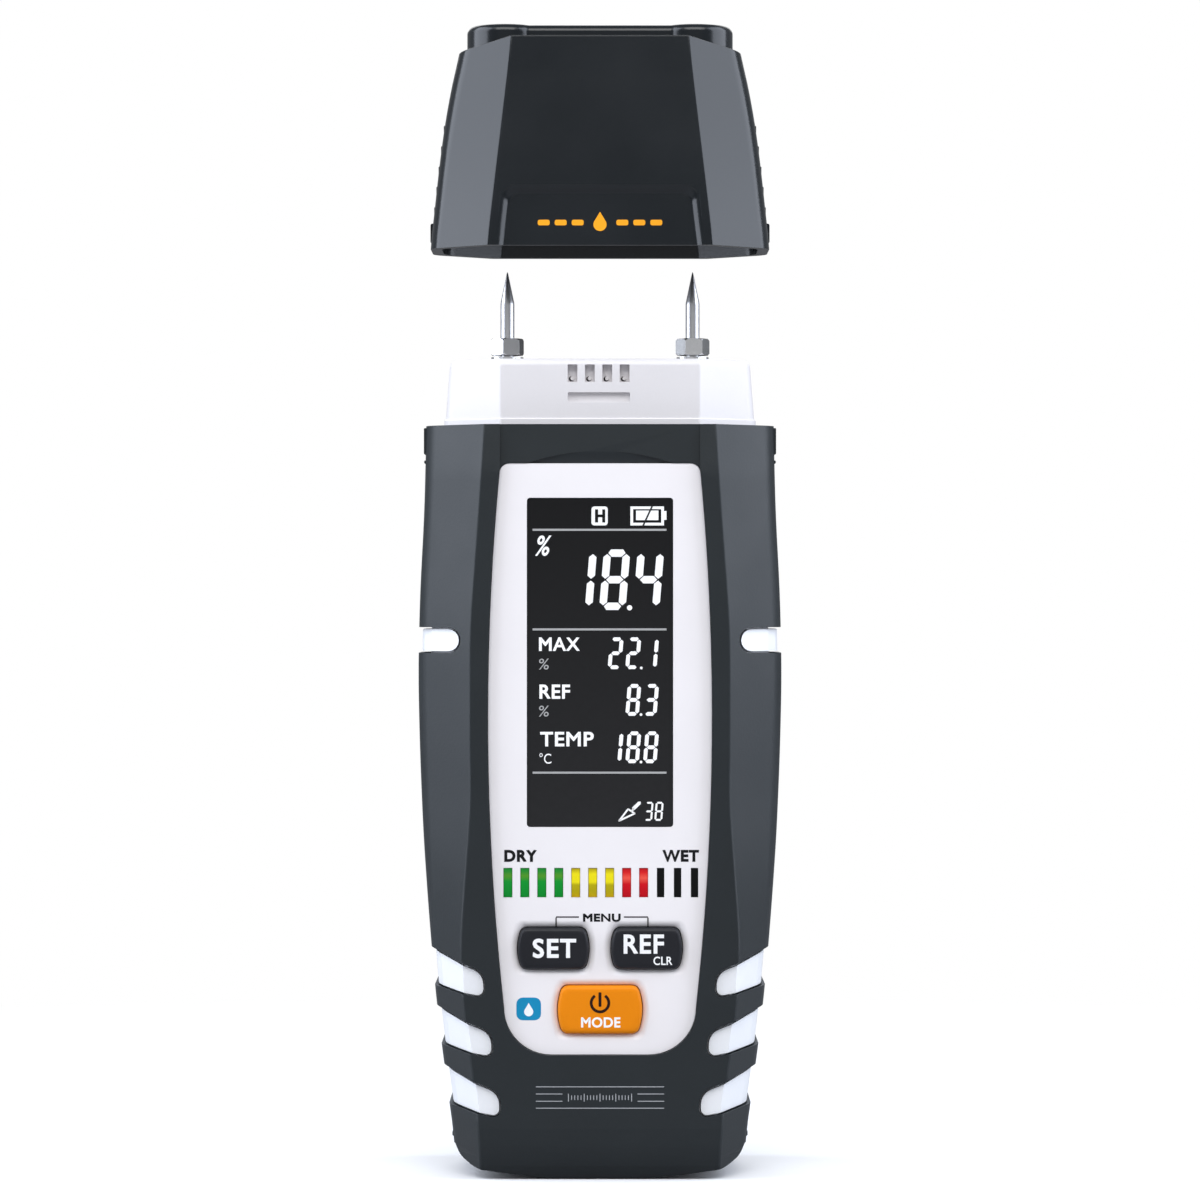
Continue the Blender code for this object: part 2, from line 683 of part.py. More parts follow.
def build_board(green, chip, metal, dark):
    """Main circuit board, its large components and its screws."""
    low, shoulder, top = BOARD_Z
    right = [(BOARD_HALF_WIDTH, low), (BOARD_HALF_WIDTH, shoulder), (BOARD_TONGUE, shoulder), (BOARD_TONGUE, top)]
    outline = right + [(-x, z) for x, z in reversed(right)]
    board = finish("main_board", prisms([outline], "Y", *BOARD_Y), green)
    cut(board, pegs(POSTS, POST_BORE[0], BOARD_Y[0] - 1, BOARD_Y[1] + 1, 12))
    rear = BOARD_Y[1] + GAP
    half_width, height, thick = PROCESSOR
    box("microcontroller", (-half_width, half_width), (rear, rear + thick), height, chip)
    half_width, height, thick = RADIO
    box("radio_module", (-half_width, half_width), (rear, rear + thick), height, metal)
    radius, middle, thick = BUZZER
    profile = [(radius, rear), (radius, rear + thick - 0.4), (radius - 0.5, rear + thick)]
    finish("buzzer", turned(profile, (0, middle), "Y", 24), dark, smooth=True)
    tip, seat, top = BOARD_SCREW
    for number, centre in enumerate(POSTS, 1):
        profile = [tip, (tip[0], rear), (seat[0], rear + seat[1]), (top[0], rear + top[1])]
        finish(f"board_screw_{number}", turned(profile, centre, "Y", 14), metal, smooth=True)
    for number, centre in enumerate(BOSSES, 1):
        finish(f"case_screw_{number}", turned(CASE_SCREW, centre, "Y", 16), metal, smooth=True)


# Measuring head

def build_head(white, chip):
    """White head that carries the pins, with air vents and a recess on its front."""
    head = finish("sensor_head", loft([head_ring(*row) for row in HEAD_ROWS]), white)
    base = HEAD_ROWS[0][0]
    width, depth = [hole - inset for hole, inset in zip(SPIGOT_HOLE, SPIGOT_INSET)]
    add(head, prisms([rectangle(-width, width, -depth, depth)], "Z", SPIGOT_END, base + 2))
    inner = []
    for height in (base + HEAD_FLOOR, HEAD_CEILING):
        half_width = interpolate([(z, w) for z, w, _ in HEAD_ROWS], height)
        half_depth = interpolate([(z, d) for z, _, d in HEAD_ROWS], height)
        inner.append(head_ring(height, half_width, half_depth, -HEAD_WALL))
    cut(head, loft(inner))
    width, depth = SPIGOT_BORE
    cut(head, prisms([rectangle(-width, width, -depth, depth)], "Z", SPIGOT_END - 1, base + HEAD_FLOOR + 1))
    bosses = [circle((x, 0), HEAD_BOSS_RADIUS) for x in (-PIN_X, PIN_X)]
    add(head, prisms(bosses, "Z", base + 2, HEAD_CEILING + 1))
    bores = [circle((x, 0), SOCKET_RADIUS + GAP) for x in (-PIN_X, PIN_X)]
    cut(head, prisms(bores, "Z", base, HEAD_ROWS[-1][0] + 1))
    vents = [rectangle(x - VENT_HALF_WIDTH, x + VENT_HALF_WIDTH, *VENT_Z) for x in VENT_X]
    cut(head, prisms(vents, "Y", -OUTSIDE, -7))
    cut(head, prisms([rectangle(-LATCH_HALF_WIDTH, LATCH_HALF_WIDTH, *LATCH_Z)], "Y", -OUTSIDE, LATCH_Y))
    half_width, y, z = SENSOR
    box("temperature_sensor", (-half_width, half_width), y, z, chip)


def build_pins(steel, brass, dark):
    """Pointed pins with their nuts, brass sockets and leads to the board."""
    shaft, shoulder, tip = PIN_Z
    for name, side in (("left", -1), ("right", 1)):
        x = side * PIN_X
        profile = [(PIN_RADIUS, shaft), (PIN_RADIUS, shoulder), (0, tip)]
        finish(f"pin_{name}", turned(profile, (x, 0), "Z", 20), steel, smooth=True)
        nut = bushing(NUT_CORNER_RADIUS, PIN_RADIUS + GAP, *NUT_Z, (x, 0), 16, 6)
        finish(f"pin_nut_{name}", nut, steel)
        socket = bushing(SOCKET_RADIUS, PIN_RADIUS + GAP, *SOCKET_Z, (x, 0), 20)
        finish(f"pin_socket_{name}", socket, brass, smooth=True)
        route = [(x, 0, 121.0), (side * 14.4, -0.5, 118.5), (side * 11.5, -2.5, 115.5),
                 (side * 10.0, -6.0, 112.0), (side * 9.5, -8.4, 110.5)]
        wire(f"pin_lead_{name}", smooth_path(route, 4), LEAD_RADIUS, dark)


# Batteries

def cell(name, x, low, upright, surface):
    """An AAA cell with its raised button end up or down."""
    button_radius, button_height = CELL_BUTTON
    end_radius = CELL_RADIUS - CELL_CHAMFER
    shoulder = CELL_LENGTH - button_height
    body = [(end_radius, 0), (CELL_RADIUS, CELL_CHAMFER), (CELL_RADIUS, shoulder - CELL_CHAMFER),
            (end_radius, shoulder), (button_radius, shoulder), (button_radius, CELL_LENGTH)]
    profile = [(radius, low + (level if upright else CELL_LENGTH - level)) for radius, level in body]
    finish(name, turned(profile, (x, CELL_Y), "Z", 24), surface, smooth=True)


def spring(name, x, low, surface):
    """A battery contact spring, one round wire wound in an open helix that narrows towards the cell."""
    steps_per_turn = 14
    count = int(SPRING_TURNS * steps_per_turn)
    wide, narrow = SPRING_RADII
    points = []
    for step in range(count + 1):
        share = step / count
        angle = 2 * math.pi * SPRING_TURNS * share
        radius = wide + (narrow - wide) * share
        height = GAP + (SPRING_LENGTH - 2 * GAP) * share
        points.append((x + radius * math.cos(angle), CELL_Y + radius * math.sin(angle), low + height))
    wire(name, points, SPRING_WIRE, surface)


def build_batteries(cell_surface, plated):
    """Two cells head to tail, with springs and contact plates at their ends."""
    floor = TRAY_Z[0] + GAP
    first = floor + CONTACT_THICK + GAP
    cell("battery_1", -CELL_X, first + SPRING_LENGTH + GAP, True, cell_surface)
    cell("battery_2", CELL_X, first, False, cell_surface)
    spring("battery_spring_1", -CELL_X, first, plated)
    spring("battery_spring_2", CELL_X, first + CELL_LENGTH + GAP, plated)
    y = (CELL_Y - CONTACT_HALF_DEPTH, CELL_Y + CONTACT_HALF_DEPTH)
    ceiling = TRAY_Z[1] - GAP
    near, far = CONTACT_X
    box("battery_bridge", (-far, far), y, (floor, floor + CONTACT_THICK), plated)
    box("battery_contact_plus", (-far, -near), y, (ceiling - CONTACT_THICK, ceiling), plated)
    box("battery_contact_minus", (near, far), y, (ceiling - CONTACT_THICK, ceiling), plated)


# Cap

def cap_loft(inset, low, high):
    """Loft of the tapered cap, inset from its outer skin."""
    def at(height):
        values = [interpolate([(row[0], row[column]) for row in CAP_ROWS], height) for column in (1, 2, 3)]
        return full_ring(inset_quarter(quarter_section(*values, CAP_SIDE_FLAT), inset), height)

    heights = [low, *[row[0] for row in CAP_ROWS if CAP_RIM < row[0] < high], high]
    return loft([at(height) for height in heights])


def build_cap(dark, brass, green):
    """Protective cap with the test contacts in its crown."""
    cap = finish("cap_shell", cap_loft(0, CAP_RIM, CAP_ROWS[-1][0]), dark)
    right = [(ROOF_FLAT, ROOF_Z), (OUTSIDE, ROOF_Z - ROOF_FALL * (OUTSIDE - ROOF_FLAT)), (OUTSIDE, CROWN_TOP + 10)]
    roof = right + [(-x, z) for x, z in reversed(right)]
    cut(cap, prisms([roof], "Y", -OUTSIDE, OUTSIDE))
    add(cap, prisms([crown_outline(0)], "Z", ROOF_Z - 3, CROWN_TOP))
    cut(cap, cap_loft(CAP_WALL, CAP_RIM - 1, CAP_CEILING))
    cut(cap, prisms([crown_outline(CAP_WALL)], "Z", CAP_CEILING - 1, CROWN_TOP - CAP_WALL))
    outer, inner = CAP_CONTACT
    bores = [circle((x, 0), outer + GAP) for x in (-PIN_X, PIN_X)]
    cut(cap, prisms(bores, "Z", CROWN_TOP - 5, CROWN_TOP + 5))
    low_width, high_width = BADGE_HALF_WIDTH
    badge = [(low_width, CAP_RIM - 1), (high_width, BADGE_TOP), (-high_width, BADGE_TOP), (-low_width, CAP_RIM - 1)]
    tool = cut(cap, prisms([badge], "Y", -6, 0))
    slope = (CAP_ROWS[0][3] - CAP_ROWS[1][3]) / (CAP_ROWS[1][0] - CAP_ROWS[0][0])
    set_pivot(tool, (0, 0, CAP_RIM))
    tool.location.y = (BADGE_DEPTH - CAP_ROWS[0][3]) * MM
    tool.rotation_euler.x = -math.atan(slope)

    parts = [cap]
    for name, x in (("left", -PIN_X), ("right", PIN_X)):
        contact = bushing(outer, inner, *CAP_CONTACT_Z, (x, 0), 16)
        parts.append(finish(f"cap_contact_{name}", contact, brass, smooth=True))
    half_width, half_depth, z = CAP_BOARD
    parts.append(box("cap_test_board", (-half_width, half_width), (-half_depth, half_depth), z, green))
    return parts


def main():
    """Clear the scene and build every piece."""
    for old in list(bpy.data.objects):
        bpy.data.objects.remove(old, do_unlink=True)

    soft = material("soft_skin", (0.030, 0.035, 0.038), 0.62)
    white = material("white_plastic", (0.83, 0.84, 0.86), 0.30)
    dark = material("dark_plastic", (0.025, 0.028, 0.030), 0.45)
    glass = material("window_glass", (0.010, 0.010, 0.010), 0.08)
    amber = material("amber_key", (0.80, 0.28, 0.01), 0.35)
    clear = material("light_guide", (0.45, 0.60, 0.30), 0.25)
    green = material("circuit_board", (0.02, 0.15, 0.06), 0.45)
    chip = material("chip", (0.02, 0.02, 0.02), 0.55)
    steel = material("steel", (0.62, 0.62, 0.63), 0.22, 1.0)
    brass = material("brass", (0.75, 0.55, 0.22), 0.28, 1.0)
    plated = material("plated_spring", (0.72, 0.71, 0.68), 0.30, 1.0)
    cell_surface = material("battery_wrap", (0.05, 0.09, 0.18), 0.35)

    build_front(soft, white, white)
    build_rear(soft, white)
    build_door(dark)
    build_display(glass, dark, white)
    build_light_guide(clear)
    build_keys(dark, amber, chip)
    build_board(green, chip, steel, dark)
    build_head(white, chip)
    build_pins(steel, brass, dark)
    build_batteries(cell_surface, plated)

    pivot = bpy.data.objects.new("cap_axis", None)
    pivot.location = (0, 0, CAP_RIM * MM)
    bpy.context.collection.objects.link(pivot)
    for piece in build_cap(dark, brass, green):
        set_pivot(piece, (0, 0, CAP_RIM))
        piece.location = (0, 0, 0)
        piece.parent = pivot


main()
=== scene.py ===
"""Looks of a handheld moisture meter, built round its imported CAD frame.

Lengths are in millimetres unless a name says otherwise, and MM turns them into metres.
The display faces -Y and +Z is up, as in the frame.
"""

import math

import bmesh
import bpy
from mathutils import Matrix, Vector


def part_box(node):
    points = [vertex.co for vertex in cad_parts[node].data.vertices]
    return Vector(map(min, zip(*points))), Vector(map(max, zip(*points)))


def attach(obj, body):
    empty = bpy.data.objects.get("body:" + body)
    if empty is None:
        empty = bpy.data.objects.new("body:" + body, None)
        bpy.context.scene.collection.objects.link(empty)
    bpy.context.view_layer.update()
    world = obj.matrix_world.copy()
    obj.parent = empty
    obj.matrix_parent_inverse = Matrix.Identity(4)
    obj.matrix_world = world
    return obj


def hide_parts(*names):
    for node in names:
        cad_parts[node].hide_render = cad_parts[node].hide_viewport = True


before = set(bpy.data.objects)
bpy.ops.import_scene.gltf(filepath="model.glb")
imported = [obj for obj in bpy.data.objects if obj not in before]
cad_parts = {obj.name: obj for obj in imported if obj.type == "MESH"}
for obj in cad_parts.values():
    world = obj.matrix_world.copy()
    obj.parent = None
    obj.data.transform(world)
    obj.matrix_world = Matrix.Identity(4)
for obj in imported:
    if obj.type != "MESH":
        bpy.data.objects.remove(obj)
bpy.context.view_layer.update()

MM = 0.001
OUTSIDE = 60.0                 # beyond every side of the object, where cutters end
WELD = 0.02                    # edges shorter than this are welded


def span(node):
    """Lowest and highest corner of a CAD node, in millimetres."""
    low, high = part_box(node)
    return low / MM, high / MM


# Body: half sizes by height, as in the CAD skin but a hair inside it
SKIN_TOP = span("front_overmold")[1].z
HALF_WIDTH = ((-1, 23.1), (4, 23.2), (10, 24.0), (19.6, 25.3), (29, 26.4), (42, 27.5),
              (54, 28.35), (67, 28.9), (80, 29.2), (93, 28.9), (106, 28.2), (119.6, 27.9))
CREASE = ((-1, 18.8), (10, 19.4), (19.6, 20.6), (29, 21.9), (37, 22.2), (42, 21.8),
          (54, 20.9), (60, 20.4), (67, 20.6), (87, 20.6), (106, 19.2), (119.6, 18.3))
HALF_DEPTH = ((-1, 16.7), (0, 17.1), (1, 17.6), (2, 18.05), (3.5, 18.5), (5.5, 18.8), (8, 18.98),
              (112, 18.98), (119.6, 18.2))
SIDE_FLAT = 6.0
SHOULDER_BACK = 0.725          # where the slanted face would meet the side, as a share of the drop
BODY_ROUNDS = (0.7, 6.0)       # crease and shoulder radius
# Outline of the foot, from the side round to the flat bottom: x, z, radius
FOOT_LINE = ((23.2, 4.8, 0), (22.3, 3.0, 2.8), (19.9, 1.5, 6.0), (14.5, 0.7, 0), (8.5, 0.0, 30.0))
SEAM = 0.12
SKIN_THICK = 1.7
SKIN_FLOOR = 3.6
SKIN_FLANGE = 1.7
SKIN_EDGE = 0.35
# Grip pads on the sides: low, high, how far they stand proud
SIDE_PADS = ((115.1, 119.3, 0.32), (113.6, 114.1, 0.20), (5.7, 6.5, 0.18))
PAD_REACH = 7.6
SCREW_WELL = 2.9               # radius
BACK_CUT = 13.0                # y where openings in the back begin
DOOR_GAP = 0.2
DOOR_CORNER = 2.0

# Slots and notch in the soft skin, on both sides
SLOT_COUNT = 3
SLOT_FIRST = (18.2, 28.55)
SLOT_STEP = (-1.25, -9.5)
SLOT_HEIGHT = 4.15
SLOT_RISE = 0.40
SLOT_DIP = 0.19
SLOT_CORNERS = (2.8, 1.2)
NOTCH_FIRST = (22.15, 83.25)
NOTCH_HEIGHT = 4.1
NOTCH_CORNER = 2.0

# Front panel
PANEL_TOP = 113.4
PANEL_BOTTOM = 19.6
PANEL_HALF_WIDTH = 17.8
PANEL_WIDEST_AT = 73.0
PANEL_SIDE_RADIUS = 415.0
PANEL_TOP_CORNER = 1.6
PANEL_BOTTOM_CORNER = 7.5
PANEL_FRONT = span("faceplate")[0].y
PANEL_BACK = span("faceplate")[1].y
INK = 0.025                    # thickness of printed marks
HAIR = 0.04                    # gap between inlaid pieces that look fitted

# Shallow recess above the panel, and the scoop in it
STEP_HALF_WIDTH = 15.85
STEP_LOW = (-18.25, 112.4)     # y and z of its lower edge
STEP_TOP_Y = -17.85
SCOOP_HALF_LENGTH = 11.6
SCOOP_RISE = 1.9
SCOOP_FOOT = 105.0             # z where its cutter ends, behind the panel
SCOOP_DEEP_Y = -17.5           # at the panel's edge
SCOOP_SLANT = 0.62

# Display
WINDOW_FRONT = PANEL_FRONT + 0.22
SEGMENTS = {"1": "bc", "2": "abged", "3": "abgcd", "4": "fgbc", "8": "abcdefg"}
DIGIT_LEAN = 0.082

# Bar graph
BAR_COUNT = 12
BAR_PITCH = 2.69
BAR_SHIFT = 0.19
BAR_HALF_WIDTH = 0.68
BLACK_BAR_HALF_WIDTH = 0.55
BAR_COLOURS = (("bars_green", 0, 4), ("bars_yellow", 4, 7), ("bars_red", 7, 9), ("bars_black", 9, 12))

# Keys: width and height, then the shape of their outline
KEY_SIZES = {"set": (11.5, 6.6), "ref": (11.5, 6.6), "mode": (13.5, 7.6)}
KEY_CORNER = 1.3
KEY_BULGE = 0.75
KEY_APEX = 0.26
KEY_SIDE_ROUND = 2.4

# Cap: height, half width, front crease, half depth
CAP_RIM = span("cap_shell")[0].z
CAP_ROWS = ((148.1, 27.35, 17.9, 16.9), (153.6, 26.7, 17.3, 16.3), (161.4, 25.9, 16.4, 15.4),
            (169.0, 24.9, 15.5, 14.5), (176.9, 23.4, 14.6, 13.6), (182.6, 21.8, 14.0, 12.9))
CAP_SIDE_FLAT = 4.5
CAP_ROUNDS = (0.7, 5.0)
CAP_WALL = 1.8
CAP_CEILING = 178.0
ROOF = ((14.0, 181.8), (OUTSIDE, 171.2))
CROWN_TOP = span("cap_shell")[1].z
CROWN_X = 15.3
CROWN_LOBE = 6.2
CROWN_WEB = 4.6
CONTACT_HOLE = 2.3             # radius
CAP_LAST_ROW = 177.4           # last regular row below the roof

# Side ribs of the cap: middle, reach in y, how far they stand proud, half height
CAP_RIBS = ((150.8, 4.0, 0.32, 1.6),
            *[(154.4 + 3.28 * number, 3.2, 0.14, 0.7) for number in range(5)])

# Recess in the cap's front
BADGE_HALF_WIDTHS = (15.35, 14.15)   # at the rim, at the top
BADGE_TOP = 156.3
BADGE_WALL = ((-4.0, 1.55), (-0.05, 1.55), (0.0, 1.5), (0.12, 1.15), (0.34, 0.78), (0.62, 0.45),
              (0.78, 0.18), (0.80, 0.0))   # depth, how far the outline is grown

# Measuring head: height, half width, half depth
HEAD_ROWS = ((117.9, 25.1, 13.0), (120.6, 25.1, 13.0), (120.75, 24.85, 12.75), (129.1, 24.2, 12.3))
HEAD_TOP = span("sensor_head")[1].z
HEAD_ROUND = 1.2
HEAD_CREASE = 15.9
HEAD_SIDE_FLAT = 3.0
HEAD_ROUNDS = (0.8, 3.0)       # crease and shoulder radius
VENT_X = (-4.39, -1.62, 1.16, 3.93)
VENT_Z = (126.5, 129.3)
VENT_HALF_WIDTH = 0.78
PIN_X = 15.0

# Camera: metres from the middle of the object, metres above the floor, focal length
CAMERA_DISTANCE = 0.820
CAMERA_HEIGHT = 0.0917
CAMERA_LENS = 151.8


# Node materials

def node(tree, kind, inputs=None, **settings):
    """Add a node, set its properties, and set or link its inputs."""
    made = tree.nodes.new(kind)
    for name, value in settings.items():
        setattr(made, name, value)
    for name, value in (inputs or {}).items():
        if isinstance(value, bpy.types.NodeSocket):
            tree.links.new(value, made.inputs[name])
        else:
            made.inputs[name].default_value = value
    return made


def shade(colour, factor):
    """A colour made lighter or darker, with its alpha."""
    return (*[min(1.0, channel * factor) for channel in colour[:3]], 1.0)


def mix(tree, factor, first, second):
    """Colour between two colours or colour sockets."""
    made = node(tree, "ShaderNodeMix", {"Factor": factor}, data_type="RGBA")
    for socket, value in ((made.inputs[6], first), (made.inputs[7], second)):
        if isinstance(value, bpy.types.NodeSocket):
            tree.links.new(value, socket)
        else:
            socket.default_value = value
    return made.outputs[2]


def remap(tree, value, low, high, to_low=0.0, to_high=1.0):
    """Value stretched from one range to another, clamped."""
    return node(tree, "ShaderNodeMapRange", {"Value": value, "From Min": low, "From Max": high,
                                             "To Min": to_low, "To Max": to_high}).outputs["Result"]


def noise(tree, coordinates, per_metre, detail=3.0, stretch=(1, 1, 1)):
    """Noise in the object's own space, with a scale in cells per metre."""
    placed = node(tree, "ShaderNodeMapping", {"Vector": coordinates, "Scale": stretch})
    return node(tree, "ShaderNodeTexNoise", {"Vector": placed.outputs["Vector"], "Scale": per_metre,
                                             "Detail": detail, "Roughness": 0.55}).outputs["Fac"]


def finish_of(name, colour, roughness, grain=2600, relief=0.12, mottle=0.08, wear_and_edge_highlight=0.0, metallic=0.0,
              stretch=(1, 1, 1), specular=0.5, coat=0.0, glow=0.0, ramp=None, edge=1.0):
    """A moulded or machined surface: mottled colour, uneven gloss, fine grain, painted highlight and wear on
    edges.

    A ramp, if given, is (axis, low, high, stops) and colours the surface along an axis. Edge is how
    much of its shine a metal keeps where it is seen almost edge-on.
    """
    made = bpy.data.materials.new(name)
    made.use_nodes = True
    tree = made.node_tree
    shader = tree.nodes["Principled BSDF"]
    coordinates = node(tree, "ShaderNodeTexCoord").outputs["Object"]
    cloud = noise(tree, coordinates, 70, 4.0)
    speck = noise(tree, coordinates, grain, 2.0, stretch)
    base = mix(tree, remap(tree, cloud, 0.3, 0.7), shade(colour, 1 - mottle), shade(colour, 1 + mottle))
    if ramp:
        axis, low, high, stops = ramp
        parts = node(tree, "ShaderNodeSeparateXYZ", {"Vector": coordinates})
        along = remap(tree, parts.outputs[axis], low * MM, high * MM)
        band = node(tree, "ShaderNodeValToRGB", {"Fac": along})
        elements = band.color_ramp.elements
        while len(elements) < len(stops):
            elements.new(0.5)
        for element, (place, stop) in zip(elements, stops):
            element.position = place
            element.color = (*stop, 1.0)
        base = mix(tree, 0.88, base, band.outputs["Color"])
    if mottle:
        base = mix(tree, remap(tree, speck, 0.35, 0.65, 0.0, 0.10), base, shade(colour, 1 + 4 * mottle))
    # Sharp edges are made lighter by pointiness: a painted highlight along the edges that also stands for
    # rubbed wear.
    if wear_and_edge_highlight:
        pointed = node(tree, "ShaderNodeNewGeometry").outputs["Pointiness"]
        base = mix(tree, remap(tree, pointed, 0.515, 0.60, 0.0, wear_and_edge_highlight), base, shade(colour, 2.2))
    tree.links.new(base, shader.inputs["Base Color"])
    uneven = remap(tree, cloud, 0.3, 0.7, roughness * 0.92, roughness * 1.10)
    tree.links.new(uneven, shader.inputs["Roughness"])
    if relief:
        bump = node(tree, "ShaderNodeBump", {"Height": speck, "Strength": relief, "Distance": 0.0001})
        tree.links.new(bump.outputs["Normal"], shader.inputs["Normal"])
    shader.inputs["Metallic"].default_value = metallic
    shader.inputs["Specular IOR Level"].default_value = specular
    shader.inputs["Specular Tint"].default_value = (edge, edge, edge, 1.0)
    shader.inputs["Coat Weight"].default_value = coat
    shader.inputs["Coat Roughness"].default_value = 0.06
    if glow:
        tree.links.new(base, shader.inputs["Emission Color"])
        shader.inputs["Emission Strength"].default_value = glow
    made.diffuse_color = (*colour, 1.0)
    return made


def painted_highlight_bar_finish(name, colour, stops):
    """A bar whose colour changes along its height: a painted highlight a little above its middle and painted
    shade towards its ends.
    """
    low, high = span("bar_light_guide")
    return finish_of(name, colour, 0.35, relief=0.03, mottle=0.03, specular=0.15,
                     ramp=("Z", low.z, high.z, stops))


def cell_finish(name, cell, upright):
    """A cell's sleeve, dark blue with copper at the end that has the button."""
    low, high = span(cell)
    blue, copper = (0.04, 0.08, 0.17), (0.58, 0.40, 0.11)
    stops = ((0.0, blue), (0.70, blue), (0.72, copper), (1.0, copper))
    if not upright:
        stops = tuple((1.0 - place, colour) for place, colour in reversed(stops))
    return finish_of(name, blue, 0.30, 1200, 0.03, 0.05, coat=0.3, ramp=("Z", low.z, high.z, stops))


def make_materials():
    """Every surface of the object, by name."""
    made = {
        "soft": finish_of("soft_skin_grain", (0.0095, 0.0135, 0.0160), 0.43, 2200, 0.14, 0.06,
                          specular=0.43),
        "cap": finish_of("cap_grain", (0.0062, 0.0085, 0.0108), 0.20, 2200, 0.06, 0.06, specular=0.46),
        "door": finish_of("door_grain", (0.0075, 0.0100, 0.0120), 0.46, 2200, 0.14, 0.06, specular=0.35),
        "housing": finish_of("housing_white", (0.84, 0.85, 0.87), 0.36, 2400, 0.06, 0.02, specular=0.4),
        "head": finish_of("head_white", (0.725, 0.702, 0.710), 0.34, 2400, 0.05, 0.02, specular=0.4),
        "panel": finish_of("panel_white", (0.870, 0.838, 0.846), 0.42, 3600, 0.05, 0.015, specular=0.35),
        "glass": finish_of("window_black", (0.007, 0.007, 0.008), 0.16, 1200, 0.01, 0.03, specular=0.18,
                           ramp=("Z", 56, 108, ((0.0, (0.022, 0.022, 0.023)),
                                                (1.0, (0.007, 0.007, 0.0075))))),
        "lcd_white": finish_of("display_white", (0.90, 0.90, 0.90), 0.5, 1800, 0.0, 0.02, glow=0.12),
        "lcd_grey": finish_of("display_grey", (0.40, 0.40, 0.40), 0.5, 1800, 0.0, 0.05),
        "lcd_dark": finish_of("display_dark_print", (0.006, 0.006, 0.006), 0.4, 1800, 0.0, 0.05,
                              specular=0.2),
        # The keys' sharp edges are made lighter: a painted highlight along their rims that also stands for
        # wear.
        "key": finish_of("key_dark", (0.0125, 0.0130, 0.0165), 0.38, 3000, 0.10, 0.06, 0.5, specular=0.25),
        "amber": finish_of("key_amber", (0.80, 0.235, 0.0015), 0.40, 2600, 0.05, 0.03, 0.05, specular=0.16),
        "ink": finish_of("ink_dark", (0.008, 0.008, 0.009), 0.6, 2200, 0.0, 0.10, specular=0.15),
        "ink_brown": finish_of("ink_brown", (0.018, 0.006, 0.003), 0.6, 2200, 0.0, 0.10, specular=0.15),
        "ink_white": finish_of("ink_white", (0.93, 0.93, 0.93), 0.5, 2200, 0.0, 0.03),
        "ink_line": finish_of("ink_line", (0.40, 0.41, 0.43), 0.5, 2200, 0.0, 0.06),
        "ink_orange": finish_of("ink_orange", (0.90, 0.36, 0.01), 0.5, 2200, 0.0, 0.05, specular=0.2),
        "ink_blue": finish_of("ink_blue", (0.006, 0.25, 0.47), 0.5, 2200, 0.0, 0.05, specular=0.2),
        "steel": finish_of("pin_steel", (0.62, 0.62, 0.63), 0.34, 900, 0.04, 0.04, metallic=1.0,
                           stretch=(1, 1, 0.05), edge=0.05),
        "nut": finish_of("nut_steel", (0.70, 0.70, 0.71), 0.24, 1400, 0.08, 0.08, metallic=1.0, edge=0.1),
        "screw": finish_of("screw_zinc", (0.42, 0.42, 0.41), 0.34, 1400, 0.15, 0.12, metallic=1.0),
        "brass": finish_of("contact_brass", (0.72, 0.50, 0.20), 0.26, 1200, 0.08, 0.08, metallic=1.0),
        "plated": finish_of("contact_plated", (0.70, 0.69, 0.66), 0.28, 1200, 0.08, 0.08, metallic=1.0),
        "board": finish_of("board_mask", (0.02, 0.14, 0.05), 0.38, 700, 0.30, 0.25, coat=0.3),
        "chip": finish_of("chip_epoxy", (0.018, 0.018, 0.019), 0.60, 5000, 0.20, 0.10),
        "shield": finish_of("shield_tin", (0.58, 0.58, 0.57), 0.30, 1500, 0.08, 0.06, metallic=1.0),
        "wire": finish_of("lead_sleeve", (0.30, 0.02, 0.015), 0.45, 1800, 0.05, 0.06),
        "cell_up": cell_finish("cell_sleeve_up", "battery_1", True),
        "cell_down": cell_finish("cell_sleeve_down", "battery_2", False),
        # The green, yellow and red stops paint a highlight a little above the middle of each bar and shade
        # towards its ends.
        "bars_green": painted_highlight_bar_finish("bar_green", (0.003, 0.27, 0.030), (
            (0.0, (0.002, 0.22, 0.022)), (0.55, (0.006, 0.29, 0.030)), (0.74, (0.10, 0.30, 0.02)),
            (0.88, (0.03, 0.26, 0.03)), (1.0, (0.006, 0.22, 0.025)))),
        "bars_yellow": painted_highlight_bar_finish("bar_yellow", (0.62, 0.50, 0.005), (
            (0.0, (0.50, 0.30, 0.004)), (0.18, (0.40, 0.31, 0.003)), (0.42, (0.42, 0.36, 0.004)),
            (0.52, (0.88, 0.76, 0.010)), (0.80, (0.90, 0.78, 0.012)), (1.0, (0.36, 0.26, 0.006)))),
        "bars_red": painted_highlight_bar_finish("bar_red", (0.65, 0.004, 0.010), (
            (0.0, (0.40, 0.003, 0.010)), (0.45, (0.60, 0.004, 0.012)), (0.66, (0.90, 0.12, 0.08)),
            (0.84, (0.72, 0.02, 0.02)), (1.0, (0.42, 0.006, 0.012)))),
        "bars_black": painted_highlight_bar_finish("bar_black", (0.003, 0.003, 0.003), (
            (0.0, (0.003, 0.003, 0.003)), (1.0, (0.004, 0.004, 0.004)))),
    }
    return made


# Tables and outlines

def interpolate(table, height):
    """Value of a (height, value) table at a height."""
    for (low, first), (high, second) in zip(table, table[1:]):
        if height <= high:
            return first + (second - first) * (height - low) / (high - low)
    return table[-1][1]


def smoothed(table, height, reach=4.0):
    """The same, with the table's bends rounded off."""
    near = [interpolate(table, min(max(height + reach * share, table[0][0]), table[-1][0]))
            for share in (-1, -0.5, 0, 0.5, 1)]
    return sum(near) / len(near)


